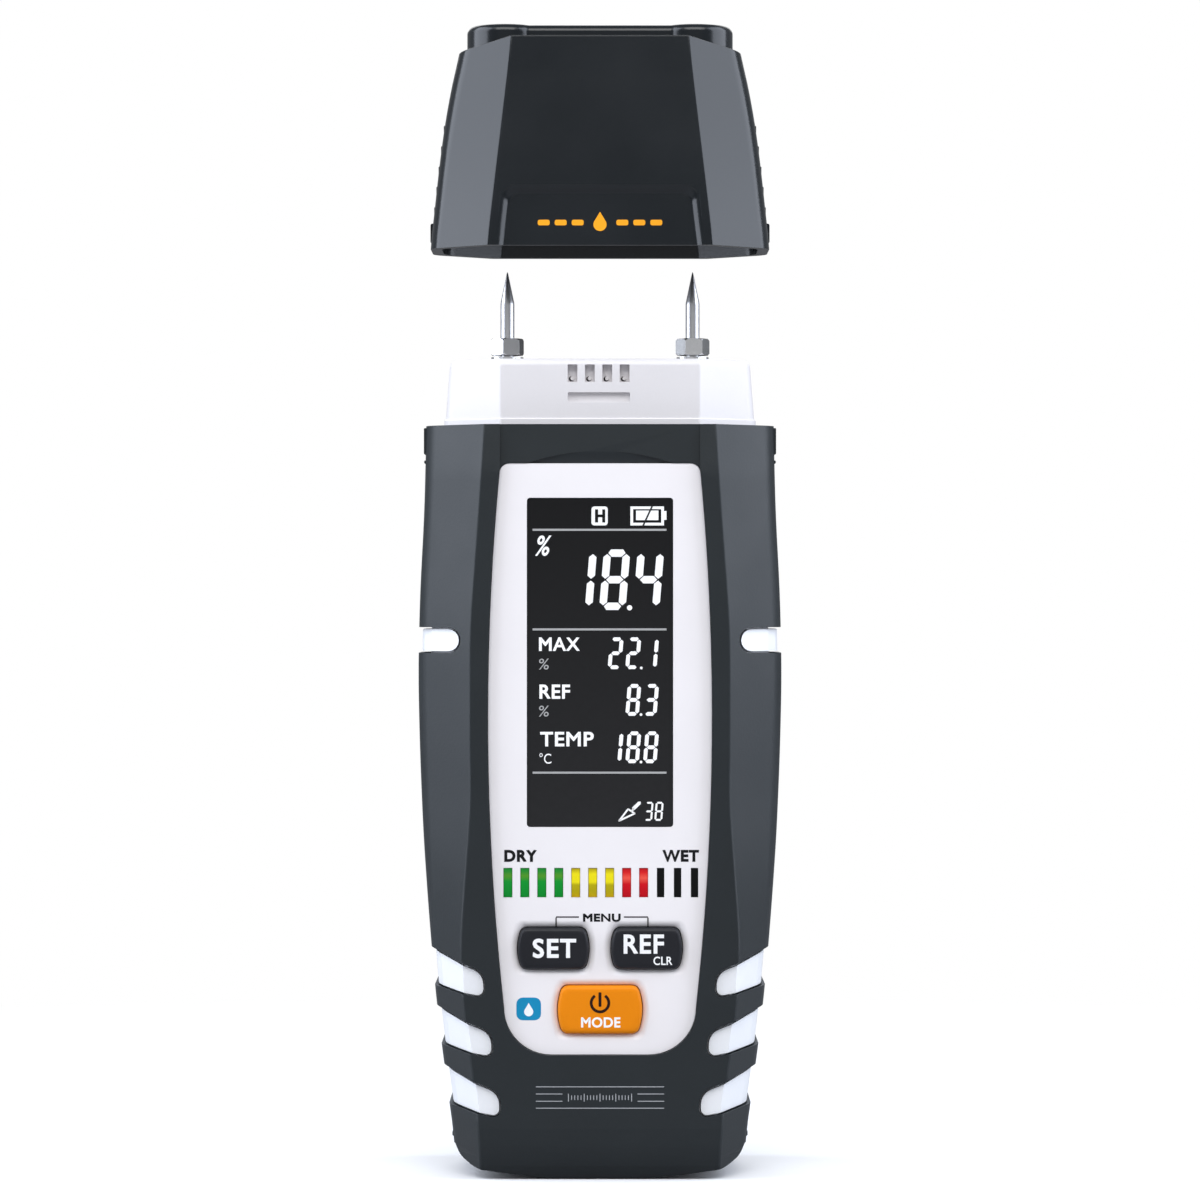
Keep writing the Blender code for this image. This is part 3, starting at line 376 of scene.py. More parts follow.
def stations(low, high, step, extra=()):
    """Heights from low to high about a step apart, with some extra ones."""
    count = math.ceil((high - low) / step)
    regular = {round(low + (high - low) * index / count, 4) for index in range(count + 1)}
    return sorted(regular | {z for z in extra if low < z < high})


def rounded(corners, steps=4):
    """Closed outline through (x, z, radius) corners, each rounded by its arc."""
    points = []
    for index, (x, z, radius) in enumerate(corners):
        here = Vector((x, z))
        if not radius:
            points.append((x, z))
            continue
        before = (Vector(corners[index - 1][:2]) - here).normalized()
        after = (Vector(corners[(index + 1) % len(corners)][:2]) - here).normalized()
        half = before.angle(after) / 2
        centre = here + (before + after).normalized() * radius / math.sin(half)
        start = here + before * radius / math.tan(half) - centre
        end = here + after * radius / math.tan(half) - centre
        turn = start.angle_signed(end)
        for step in range(steps + 1):
            points.append(tuple(centre + Matrix.Rotation(-turn * step / steps, 2) @ start))
    return points


def arc(centre, radius, start, end, steps):
    """Points along a circular arc, angles in degrees."""
    points = []
    for step in range(steps + 1):
        angle = math.radians(start + (end - start) * step / steps)
        points.append((centre[0] + radius * math.cos(angle), centre[1] + radius * math.sin(angle)))
    return points


def circle(centre, radius, steps=24):
    """A whole circle."""
    return arc(centre, radius, 0, 360 * (steps - 1) / steps, steps - 1)


def rectangle(x0, x1, z0, z1, radius=0.0):
    """An upright rectangle, with round corners if a radius is given."""
    corners = [(x0, z0, radius), (x1, z0, radius), (x1, z1, radius), (x0, z1, radius)]
    return rounded(corners)


def quarter(half_width, crease, half_depth, side_flat, rounds, inset=0.0):
    """Quarter section from the middle of the front round to the middle of the side."""
    corner = (half_width, half_depth - SHOULDER_BACK * (half_depth - side_flat))
    slant = Vector((corner[0] - crease, corner[1] - half_depth)).normalized()
    normal = Vector((-slant.y, slant.x))
    offset = normal.dot(Vector((crease, half_depth))) - inset
    depth = half_depth - inset
    width = half_width - inset
    front = (offset - normal.y * depth) / normal.x
    side = (offset - normal.x * width) / normal.y
    return rounded([(0, depth, 0), (front, depth, rounds[0]), (width, side, rounds[1]), (width, 0, 0)], 5)


def half_ring(points, side, edge, height):
    """Half section on one side of the parting plane, closed `edge` away from it."""
    right = [(x, side * y) for x, y in points[:-1]] + [(points[-1][0], side * edge)]
    left = [(-x, y) for x, y in reversed(right[1:])]
    return [(x, y, height) for x, y in left + right]


def full_ring(points, height):
    """Whole section, all four quarters."""
    right = points + [(x, -y) for x, y in reversed(points[:-1])]
    left = [(-x, y) for x, y in reversed(right[1:-1])]
    return [(x, y, height) for x, y in right + left]


def body_quarter(height, inset=0.0):
    """Quarter section of the body's outer skin."""
    return quarter(smoothed(HALF_WIDTH, height), smoothed(CREASE, height), interpolate(HALF_DEPTH, height),
                   SIDE_FLAT, BODY_ROUNDS, inset)


def key_outline(x, z, width, height, grow=0.0):
    """A key seen from the front: straight top and bottom, rounded corners, bulging sides."""
    half_width = width / 2 + grow
    half_height = height / 2 + grow
    shoulder = half_width - KEY_BULGE
    corner = max(0.3, KEY_CORNER + min(grow, 0.0) * 0.5)
    right = [(x + shoulder, z - half_height, corner),
             (x + half_width + KEY_APEX, z, KEY_SIDE_ROUND * half_height),
             (x + shoulder, z + half_height, corner)]
    left = [(2 * x - u, v, radius) for u, v, radius in reversed(right)]
    return rounded(right + left, 6)


def key_level(place, inset):
    """A key's outline drawn in towards its centre by the same amount on each side."""
    x, z, width, height = place
    across, up = 1 - 2 * inset / width, 1 - 2 * inset / height
    return [(x + (u - x) * across, z + (v - z) * up) for u, v in key_outline(*place)]


def panel_outline(grow):
    """Outline of the front panel: bulging sides, small top corners, large bottom corners."""
    def half_width(height):
        return PANEL_HALF_WIDTH - (height - PANEL_WIDEST_AT) ** 2 / (2 * PANEL_SIDE_RADIUS) + grow

    top = PANEL_TOP + grow
    bottom = PANEL_BOTTOM - grow
    low = (half_width(bottom + PANEL_BOTTOM_CORNER) - PANEL_BOTTOM_CORNER, bottom + PANEL_BOTTOM_CORNER)
    high = (half_width(top - PANEL_TOP_CORNER) - PANEL_TOP_CORNER, top - PANEL_TOP_CORNER)
    right = arc(low, PANEL_BOTTOM_CORNER, -90, 0, 12)
    side_steps = 18
    for step in range(1, side_steps):
        height = low[1] + (high[1] - low[1]) * step / side_steps
        right.append((half_width(height), height))
    right += arc(high, PANEL_TOP_CORNER, 0, 90, 6)
    return right + [(-x, z) for x, z in reversed(right)]


def side_opening(first, height, rise, dip, corners):
    """A slot that runs out over the side from a rounded inner end."""
    x, low = first
    run = OUTSIDE - x
    return rounded([(OUTSIDE, low + height + run * rise, 0), (x, low + height, corners[0]),
                    (x, low, corners[1]), (OUTSIDE, low + run * dip, 0)], 6)


def side_openings():
    """The notch and the slanted slots, on both sides."""
    right = [side_opening(NOTCH_FIRST, NOTCH_HEIGHT, 0, 0, (NOTCH_CORNER, NOTCH_CORNER))]
    for number in range(SLOT_COUNT):
        first = (SLOT_FIRST[0] + number * SLOT_STEP[0], SLOT_FIRST[1] + number * SLOT_STEP[1])
        right.append(side_opening(first, SLOT_HEIGHT, SLOT_RISE, SLOT_DIP, SLOT_CORNERS))
    return right + [[(-x, z) for x, z in reversed(outline)] for outline in right]


def crown_outline(inset):
    """Two round lobes joined by a narrower web, seen from above."""
    radius = CROWN_LOBE - inset
    web = CROWN_WEB - inset
    open_angle = 180 - math.degrees(math.asin(web / radius))
    right = arc((CROWN_X, 0), radius, -open_angle, open_angle, 28)
    return right + [(-x, -y) for x, y in right]


# Mesh builders

def solid(name, bm):
    """Turn a bmesh drawn in millimetres into an object in metres."""
    bmesh.ops.recalc_face_normals(bm, faces=bm.faces)
    bmesh.ops.scale(bm, vec=(MM, MM, MM), verts=bm.verts)
    mesh = bpy.data.meshes.new(name)
    bm.to_mesh(mesh)
    bm.free()
    made = bpy.data.objects.new(name, mesh)
    bpy.context.scene.collection.objects.link(made)
    return made


def loft(rings):
    """Skin a row of rings that have the same number of points, and close both ends."""
    bm = bmesh.new()
    rows = [[bm.verts.new(point) for point in ring] for ring in rings]
    count = len(rows[0])
    for first, second in zip(rows, rows[1:]):
        for i in range(count):
            j = (i + 1) % count
            bm.faces.new((first[i], first[j], second[j], second[i]))
    bm.faces.new(rows[0])
    bm.faces.new(rows[-1])
    return bm


def prisms(outlines, axis, low, high, bm=None):
    """Extrude outlines along Y (outline in X and Z) or along Z (outline in X and Y)."""
    bm = bm or bmesh.new()
    for outline in outlines:
        rows = []
        for level in (low, high):
            rows.append([bm.verts.new((u, level, v) if axis == "Y" else (u, v, level)) for u, v in outline])
        count = len(outline)
        for i in range(count):
            j = (i + 1) % count
            bm.faces.new((rows[0][i], rows[0][j], rows[1][j], rows[1][i]))
        bm.faces.new(rows[0])
        bm.faces.new(rows[1])
    return bm


def stack(levels):
    """Loft along Y through (y, outline in X and Z) levels."""
    return loft([[(u, y, v) for u, v in outline] for y, outline in levels])


def turned(profile, centre, axis="Z", steps=40, phase=0.0):
    """Turn a (radius, level) profile about an axis through a centre; a zero radius is a tip."""
    bm = bmesh.new()
    rows = []
    for radius, level in profile:
        row = []
        for step in range(steps if radius else 1):
            angle = 2 * math.pi * step / steps + phase
            u = centre[0] + radius * math.cos(angle)
            v = centre[1] + radius * math.sin(angle)
            row.append(bm.verts.new((u, level, v) if axis == "Y" else (u, v, level)))
        rows.append(row)
    for first, second in zip(rows, rows[1:]):
        for i in range(steps):
            j = (i + 1) % steps
            ring = [first[i % len(first)], first[j % len(first)],
                    second[j % len(second)], second[i % len(second)]]
            bm.faces.new(dict.fromkeys(ring))
    for row in (rows[0], rows[-1]):
        if len(row) > 1:
            bm.faces.new(row)
    return bm


def settle(target):
    """Apply an object's modifiers to its mesh."""
    graph = bpy.context.evaluated_depsgraph_get()
    graph.update()
    mesh = bpy.data.meshes.new_from_object(target.evaluated_get(graph))
    target.modifiers.clear()
    target.data = mesh


def combine(target, bm, operation="DIFFERENCE"):
    """Cut, add or intersect with a shape."""
    tool = solid("tool", bm)
    step = target.modifiers.new(operation.lower(), "BOOLEAN")
    step.operation = operation
    step.solver = "EXACT"
    step.object = tool
    settle(target)
    bpy.data.objects.remove(tool, do_unlink=True)


def soften(target, width, segments=3, angle=32):
    """Round the sharp edges of a piece."""
    step = target.modifiers.new("edges", "BEVEL")
    step.width = width * MM
    step.segments = segments
    step.limit_method = "ANGLE"
    step.angle_limit = math.radians(angle)
    step.use_clamp_overlap = True
    settle(target)


def clean(target):
    """Weld the tiny edges that cutting leaves behind."""
    bm = bmesh.new()
    bm.from_mesh(target.data)
    bmesh.ops.remove_doubles(bm, verts=bm.verts, dist=WELD * MM)
    bmesh.ops.dissolve_degenerate(bm, edges=bm.edges, dist=WELD * MM / 2)
    bm.to_mesh(target.data)
    bm.free()


def dress(target, material, body, slot, *nodes, sharp=38):
    """Give a piece its surface and hand it to the frame."""
    target.data.materials.clear()
    target.data.materials.append(material)
    target.data.shade_smooth()
    target.data.set_sharp_from_angle(angle=math.radians(sharp))
    even = target.modifiers.new("even_shading", "WEIGHTED_NORMAL")
    even.keep_sharp = True
    even.weight = 90
    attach(target, body)
    if nodes:
        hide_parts(*nodes)


# Soft skin

def skin_loft(side, inset, edge, low, high, step):
    """Loft of one half of the body, inset from the outer skin."""
    heights = stations(low, high, step, [row[0] for row in HALF_DEPTH])
    return loft([half_ring(body_quarter(z, inset), side, edge, z) for z in heights])


def skin(name, side):
    """One half of the soft skin, with its foot, slots, notch and the hole for the head."""
    made = solid(name, skin_loft(side, 0, SEAM / 2, -1, SKIN_TOP, 3.0))
    for low, high, proud in SIDE_PADS:
        half = smoothed(HALF_WIDTH, (low + high) / 2)
        for right in (-1, 1):
            pad = rectangle(*sorted((right * (half - 2), right * (half + proud))), low, high, 0.15)
            combine(made, prisms([pad], "Y", *sorted((side * SEAM / 2, side * PAD_REACH))), "UNION")
    right = [(OUTSIDE, -OUTSIDE, 0), (OUTSIDE, FOOT_LINE[0][1], 0), *FOOT_LINE]
    foot = rounded(right + [(-x, z, radius) for x, z, radius in reversed(right)], 6)
    combine(made, prisms([foot], "Y", -OUTSIDE, OUTSIDE))
    combine(made, skin_loft(side, SKIN_THICK, -1, SKIN_FLOOR, SKIN_TOP - SKIN_FLANGE, 12.0))
    _, foot_width, foot_depth = HEAD_ROWS[0]
    hole = quarter(foot_width + HAIR, HEAD_CREASE, foot_depth + HAIR, HEAD_SIDE_FLAT, HEAD_ROUNDS)
    combine(made, loft([full_ring(hole, z) for z in (SKIN_TOP - 5, SKIN_TOP + 5)]))
    combine(made, prisms(side_openings(), "Y", -OUTSIDE, OUTSIDE))
    return made


def top_recess():
    """Cutter for the shallow recess above the panel, with a leaning floor."""
    rings = []
    for y, z in (STEP_LOW, (STEP_TOP_Y, SKIN_TOP + 1)):
        rings.append([(-STEP_HALF_WIDTH, -OUTSIDE, z), (STEP_HALF_WIDTH, -OUTSIDE, z),
                      (STEP_HALF_WIDTH, y, z), (-STEP_HALF_WIDTH, y, z)])
    return loft(rings)


def scoop():
    """Cutter for the curved scoop in that recess, deepest at the panel's edge."""
    radius = (SCOOP_HALF_LENGTH ** 2 + SCOOP_RISE ** 2) / (2 * SCOOP_RISE)
    reach = math.degrees(math.asin(SCOOP_HALF_LENGTH / radius))
    edge = arc((0, PANEL_TOP + SCOOP_RISE - radius), radius, 90 - reach, 90 + reach, 24)
    outline = [(SCOOP_HALF_LENGTH, SCOOP_FOOT), *edge, (-SCOOP_HALF_LENGTH, SCOOP_FOOT)]
    bm = prisms([outline], "Y", -OUTSIDE, 0)
    for vertex in bm.verts:
        if vertex.co.y == 0:
            vertex.co.y = SCOOP_DEEP_Y - SCOOP_SLANT * (vertex.co.z - PANEL_TOP) / SCOOP_RISE
    return bm


def build_front_skin(surfaces):
    """Front half: panel opening, shallow recess above the panel and the scoop in it."""
    made = skin("front_skin", -1)
    combine(made, top_recess())
    combine(made, scoop())
    combine(made, prisms([panel_outline(0)], "Y", -OUTSIDE, PANEL_BACK + 1.5))
    clean(made)
    soften(made, SKIN_EDGE)
    dress(made, surfaces["soft"], "meter", "soft_skin", "front_overmold")


def build_rear_skin(surfaces):
    """Rear half: battery door opening and screw wells."""
    made = skin("rear_skin", 1)
    low, high = span("battery_door")
    opening = rectangle(low.x - DOOR_GAP, high.x + DOOR_GAP, low.z - DOOR_GAP, high.z + DOOR_GAP,
                        DOOR_CORNER + DOOR_GAP)
    combine(made, prisms([opening], "Y", BACK_CUT, OUTSIDE))
    wells = [circle(place, SCREW_WELL) for place in screw_places()]
    combine(made, prisms(wells, "Y", BACK_CUT, OUTSIDE))
    clean(made)
    soften(made, SKIN_EDGE)
    dress(made, surfaces["soft"], "meter", "soft_skin", "rear_overmold")


def screw_places():
    """Centre of each case screw, in X and Z."""
    places = []
    for number in range(1, 5):
        low, high = span(f"case_screw_{number}")
        places.append(((low.x + high.x) / 2, (low.z + high.z) / 2))
    return places


# Panel, display and bars

def bar_middles():
    """Middle of each bar of the bar graph."""
    return [BAR_SHIFT + (number - (BAR_COUNT - 1) / 2) * BAR_PITCH for number in range(BAR_COUNT)]


def key_places():
    """Centre, width and height of each key, by name."""
    places = {}
    for name, (width, height) in KEY_SIZES.items():
        low, high = span(f"button_{name}")
        places[name] = ((low.x + high.x) / 2, (low.z + high.z) / 2, width, height)
    return places


def build_panel(surfaces):
    """White panel with the window and bar openings and a dished pocket round each key."""
    made = solid("front_panel", prisms([panel_outline(-0.06)], "Y", PANEL_FRONT, PANEL_BACK))
    low, high = span("display_window")
    combine(made, prisms([rectangle(low.x, high.x, low.z, high.z, 0.5)], "Y", -OUTSIDE, 0))
    guide_low, guide_high = span("bar_light_guide")
    slots = []
    for number, x in enumerate(bar_middles()):
        reach = (BLACK_BAR_HALF_WIDTH if number >= BAR_COLOURS[-1][1] else BAR_HALF_WIDTH) + HAIR
        slots.append(rectangle(x - reach, x + reach, guide_low.z - HAIR, guide_high.z + HAIR))
    combine(made, prisms(slots, "Y", -OUTSIDE, 0))
    for place in key_places().values():
        dish = [(-20, 1.55), (PANEL_FRONT, 1.15), (PANEL_FRONT + 0.10, 0.75), (PANEL_FRONT + 0.28, 0.42),
                (PANEL_FRONT + 0.50, 0.20), (PANEL_FRONT + 0.60, 0.11), (PANEL_BACK + 1, 0.11)]
        combine(made, stack([(y, key_outline(*place, grow)) for y, grow in dish]))
    clean(made)
    soften(made, 0.22, 3, 40)
    dress(made, surfaces["panel"], "meter", "white_panel", "faceplate")


def build_window(surfaces):
    """Black window, set a little below the panel, with soft edges."""
    low, high = span("display_window")
    outline = rectangle(low.x + HAIR, high.x - HAIR, low.z + HAIR, high.z - HAIR, 0.5)
    made = solid("window", prisms([outline], "Y", WINDOW_FRONT, high.y))
    soften(made, 0.08, 2)
    dress(made, surfaces["glass"], "meter", "black_window", "display_window")


def digit(character, x, z, width, height, stroke):
    """Seven-segment digit: the outlines of its lit segments, leaning to the right."""
    gap = 0.09 * stroke
    tip = gap * 1.4
    half = stroke / 2
    middle = height / 2
    left, right = half, width - half
    bottom, top = half, height - half
    cut = half - gap

    def across(level, above, below):
        return [(left + tip, level), (left + tip + below, level - half), (right - tip - below, level - half),
                (right - tip, level), (right - tip - above, level + half), (left + tip + above, level + half)]

    def upright(side, low, high):
        return [(side, low + tip), (side + half, low + tip + cut), (side + half, high - tip - cut),
                (side, high - tip), (side - half, high - tip - cut), (side - half, low + tip + cut)]

    shapes = {"a": across(top, 0.35 * stroke, half), "g": across(middle, half, half),
              "d": across(bottom, half, 0.35 * stroke),
              "f": upright(left, middle, top), "b": upright(right, middle, top),
              "e": upright(left, bottom, middle), "c": upright(right, bottom, middle)}
    return [[(x + u + DIGIT_LEAN * v, z + v) for u, v in shapes[segment]] for segment in SEGMENTS[character]]


def readout(text, places, z, width, height, stroke, dot=None):
    """A row of digits, and the point before the last one."""
    outlines = []
    for character, x in zip(text, places):
        outlines += digit(character, x, z, width, height, stroke)
    if dot:
        outlines.append(circle((dot, z + 0.3 * stroke), 0.36 * stroke, 16))
    return outlines


def lettering(bm, text, x0, x1, z0, z1, low, high, lean=0.0, bold=0.0):
    """Write generic words or signs in the built-in typeface, stretched to fill a box.

    Bold is how far each edge is pushed out, in millimetres, so that the strokes get heavier.
    """
    curve = bpy.data.curves.new("lettering", "FONT")
    curve.body = text
    curve.shear = lean
    curve.space_character = 1.0 + bold
    curve.extrude = 0.5
    curve.resolution_u = 4
    writer = bpy.data.objects.new("lettering", curve)
    bpy.context.scene.collection.objects.link(writer)
    graph = bpy.context.evaluated_depsgraph_get()
    graph.update()
    mesh = bpy.data.meshes.new_from_object(writer.evaluated_get(graph))
    bpy.data.objects.remove(writer, do_unlink=True)
    letters = bmesh.new()
    letters.from_mesh(mesh)
    bmesh.ops.remove_doubles(letters, verts=letters.verts, dist=1e-5)
    left, right = min(v.co.x for v in letters.verts), max(v.co.x for v in letters.verts)
    bottom, top = min(v.co.y for v in letters.verts), max(v.co.y for v in letters.verts)
    for vertex in letters.verts:
        across = (vertex.co.x - left) / (right - left)
        up = (vertex.co.y - bottom) / (top - bottom)
        front = vertex.co.z > 0
        vertex.co = (x0 + bold + (x1 - x0 - 2 * bold) * across, low if front else high,
                     z0 + bold + (z1 - z0 - 2 * bold) * up)
    bmesh.ops.recalc_face_normals(letters, faces=letters.faces)
    pushes = [edge_push(vertex) * bold for vertex in letters.verts]
    for vertex, push in zip(letters.verts, pushes):
        vertex.co += push
    letters.to_mesh(mesh)
    letters.free()
    bm.from_mesh(mesh)
    bpy.data.meshes.remove(mesh)
    return bm


def edge_push(vertex):
    """Outward direction of a letter's edge at a vertex, longer at corners to keep strokes even."""
    walls = {tuple(round(part, 2) for part in face.normal)
             for face in vertex.link_faces if abs(face.normal.y) < 0.5}
    outward = sum((Vector(wall) for wall in walls), Vector()) / max(1, len(walls))
    return outward / max(outward.length_squared, 0.4)


def build_readings(surfaces):
    """White figures and words of the display, its grey rules and dark overprint."""
    front = WINDOW_FRONT - INK
    back = WINDOW_FRONT + 0.02
    white = readout("184", (-5.45, -0.16, 5.2), 90.12, 4.2, 9.6, 1.17, 4.69)
    columns = (1.2, 4.0, 6.81)
    white += readout("221", columns, 80.75, 2.14, 5.03, 0.60, 6.54)
    white += readout("83", columns[1:], 73.35, 2.14, 5.03, 0.60, 6.50)
    white += readout("188", columns, 65.84, 2.14, 5.03, 0.60, 6.50)
    white += readout("38", (7.0, 8.6), 56.7, 1.25, 3.0, 0.30)
    white.append(rectangle(-1.35, 1.22, 103.52, 106.53, 0.45))
    battery = (4.82, 10.14, 103.52, 106.53)
    stroke = 0.43
    for box in ((battery[0], battery[1], battery[2], battery[2] + stroke),
                (battery[0], battery[1], battery[3] - stroke, battery[3]),
                (battery[0], battery[0] + stroke, battery[2] + stroke, battery[3] - stroke),
                (battery[1] - stroke, battery[1], battery[2] + stroke, battery[3] - stroke),
                (5.71, 9.26, 104.36, 105.88), (10.14, 10.54, 104.4, 105.8)):
        white.append(rectangle(*box))
    blade = [(3.04, 56.7), (4.45, 58.56), (5.50, 57.86)]
    white += strokes(blade, 0.14, closed=True)
    white += strokes([(5.0, 58.2), (5.35, 58.65)], 0.16)
    white += strokes([(5.30, 58.62), (6.26, 59.55)], 0.27)
    bm = prisms(white, "Y", front, back)
    lettering(bm, "%", -10.29, -7.69, 98.69, 101.94, front, back, 0.3, 0.06)
    lettering(bm, "MAX", -9.67, -3.2, 83.62, 85.79, front, back, 0, 0.08)
    lettering(bm, "REF", -9.6, -4.75, 76.04, 78.3, front, back, 0, 0.08)
    lettering(bm, "TEMP", -9.5, -0.98, 68.5, 70.8, front, back, 0, 0.08)
    lettering(bm, "°C", -9.6, -7.72, 65.75, 67.42, front, back)
    dress(solid("display_figures", bm), surfaces["lcd_white"], "meter", "white_panel")

    rules = [rectangle(-10.68, 10.54, z - 0.16, z + 0.16) for z in (102.83, 87.04, 64.33)]
    bm = prisms(rules, "Y", front, back)
    for low in (80.67, 73.22):
        lettering(bm, "%", -9.67, -8.13, low, low + 1.74, front, back, 0.1)
    dress(solid("display_rules", bm), surfaces["lcd_grey"], "meter", "white_panel")

    over = front - INK
    letter = [rectangle(-0.79, -0.30, 104.0, 106.07), rectangle(0.36, 0.82, 104.0, 106.07),
              rectangle(-0.40, 0.46, 104.83, 105.25)]
    letter += strokes([(6.75, 103.3), (8.35, 106.75)], 0.13)
    dress(solid("display_overprint", prisms(letter, "Y", over, front + 0.005)),
          surfaces["lcd_dark"], "meter", "display_dark")


def strokes(points, half, closed=False):
    """Straight strokes between points, as outlines with pointed ends."""
    ends = list(zip(points, points[1:]))
    if closed:
        ends.append((points[-1], points[0]))
    outlines = []
    for first, second in ends:
        first, second = Vector(first), Vector(second)
        along = (second - first).normalized() * half
        across = Vector((-along.y, along.x))
        shape = (first - along, first - across, second - across, second + along,
                 second + across, first + across)
        outlines.append([tuple(point) for point in shape])
    return outlines


def build_bars(surfaces):
    """The coloured ends of the light guide, in their groups, and the comb behind them."""
    low, high = span("bar_light_guide")
    comb = rectangle(low.x, high.x, low.z, high.z, 0.4)
    made = solid("bar_comb", prisms([comb], "Y", high.y - 1.2, high.y))
    soften(made, 0.15)
    dress(made, surfaces["housing"], "meter", "light_guide", "bar_light_guide")
    middles = bar_middles()
    for name, first, last in BAR_COLOURS:
        reach = BLACK_BAR_HALF_WIDTH if name == "bars_black" else BAR_HALF_WIDTH
        ends = [rectangle(x - reach, x + reach, low.z, high.z) for x in middles[first:last]]
        made = solid(name, prisms(ends, "Y", low.y + 0.03, high.y - 1.25))
        soften(made, 0.1, 2)
        dress(made, surfaces[name], "meter", "light_guide")


# Keys and printed marks

def build_keys(surfaces):
    """Crowned keys with their printed marks."""
    for name, place in key_places().items():
        low, high = span(f"button_{name}")
        front = low.y
        flange = high.y - 0.8
        levels = [(high.y, -1.2), (flange, -1.2), (flange, 0.0), (front + 0.66, 0.0), (front + 0.44, 0.05),
                  (front + 0.27, 0.15), (front + 0.14, 0.30), (front + 0.06, 0.50), (front + 0.02, 0.74),
                  (front, 1.05)]
        bm = stack([(y, key_level(place, inset)) for y, inset in levels])
        made = solid(f"{name}_key", bm)
        amber = name == "mode"
        dress(made, surfaces["amber" if amber else "key"], f"key_{name}",
              "amber_key" if amber else "dark_key", f"button_{name}")
    front = span("button_set")[0].y
    back = front + 0.05
    print_text("set_word", "SET", (-10.67, -3.77, 35.0, 38.1), front - INK, back, surfaces["ink_white"],
               "key_set", 0.12)
    bm = lettering(bmesh.new(), "REF", 3.74, 10.13, 35.7, 38.75, front - INK, back, 0, 0.11)
    lettering(bm, "CLR", 8.45, 11.45, 33.9, 35.25, front - INK, back + 0.1, 0, 0.03)
    dress(solid("ref_words", bm), surfaces["ink_white"], "key_ref", "white_panel")
    print_text("mode_word", "MODE", (-2.99, 3.24, 24.0, 25.65), front - INK, back, surfaces["ink_white"],
               "key_mode", 0.065)
    outer = arc((0.0, 27.9), 1.62, 125, 415, 36)
    inner = arc((0.0, 27.9), 1.17, 415, 125, 36)
    power = [outer + inner, rectangle(-0.23, 0.23, 27.3, 29.6, 0.15)]
    made = solid("power_sign", prisms(power, "Y", front - INK, back))
    dress(made, surfaces["ink_brown"], "key_mode", "dark_key")


def print_text(name, text, box, front, back, surface, body, bold):
    """One printed word as a piece of its own."""
    bm = lettering(bmesh.new(), text, *box, front, back, 0, bold)
    dress(solid(name, bm), surface, body, "white_panel")


def build_prints(surfaces):
    """Words, bracket and droplet mark on the panel, and the fine lines below it."""
    front = PANEL_FRONT - INK
    back = PANEL_FRONT + 0.02
    bm = lettering(bmesh.new(), "DRY", -15.17, -10.0, 50.2, 52.1, front, back, 0, 0.12)
    lettering(bm, "WET", 9.9, 15.7, 50.2, 52.1, front, back, 0, 0.12)
    lettering(bm, "MENU", -2.7, 3.27, 40.7, 42.0, front, back, 0, 0.085)
    line = 0.10
    for inner, outer in ((-3.33, -6.96), (3.79, 7.6)):
        near, far = sorted((inner, outer))
        bm = prisms([rectangle(near, far, 41.46 - line, 41.46 + line),
                     rectangle(outer - line, outer + line, 39.9, 41.46 - line)], "Y", front, back, bm)
    dress(solid("panel_words", bm), surfaces["ink"], "meter", "dark_key")

    made = solid("droplet_mark", prisms([rectangle(-13.25, -9.35, 25.1, 28.7, 1.0)], "Y", front, back))
    dress(made, surfaces["ink_blue"], "meter", "display_dark")
    drop = prisms([drop_outline(-11.3, 26.45, 0.72)], "Y", front - INK, front + 0.005)
    dress(solid("droplet_sign", drop), surfaces["ink_white"], "meter", "white_panel")

    face = span("front_overmold")[0].y
    half = 0.06
    lines = [rectangle(-10.15, 10.15, z - half, z + half) for z in (14.63, 11.25)]
    lines += [rectangle(*sorted((side * 10.15, side * 5.95)), z - half, z + half)
              for z in (13.5, 12.35) for side in (-1, 1)]
    for number in range(-10, 11):
        tall = 0.62 if number % 5 == 0 else 0.36
        x = 0.5 * number
        lines.append(rectangle(x - half, x + half, 12.92 - tall, 12.92 + tall))
    made = solid("fine_lines", prisms(lines, "Y", face, face + 0.1))
    dress(made, surfaces["ink_line"], "meter", "white_panel")


def drop_outline(x, z, radius):
    """A plain water drop: a round bottom drawn up to a point."""
    open_angle = 40
    body = arc((x, z), radius, open_angle, -180 - open_angle, 28)
    return body + [(x, z + radius / math.sin(math.radians(open_angle)) * 1.25)]


# Measuring head and pins

def head_ring(height, inset=0.0):
    """Section of the measuring head."""
    half_width = interpolate([row[:2] for row in HEAD_ROWS], height)
    half_depth = interpolate([(row[0], row[2]) for row in HEAD_ROWS], height)
    return full_ring(quarter(half_width, HEAD_CREASE, half_depth, HEAD_SIDE_FLAT, HEAD_ROUNDS, inset), height)


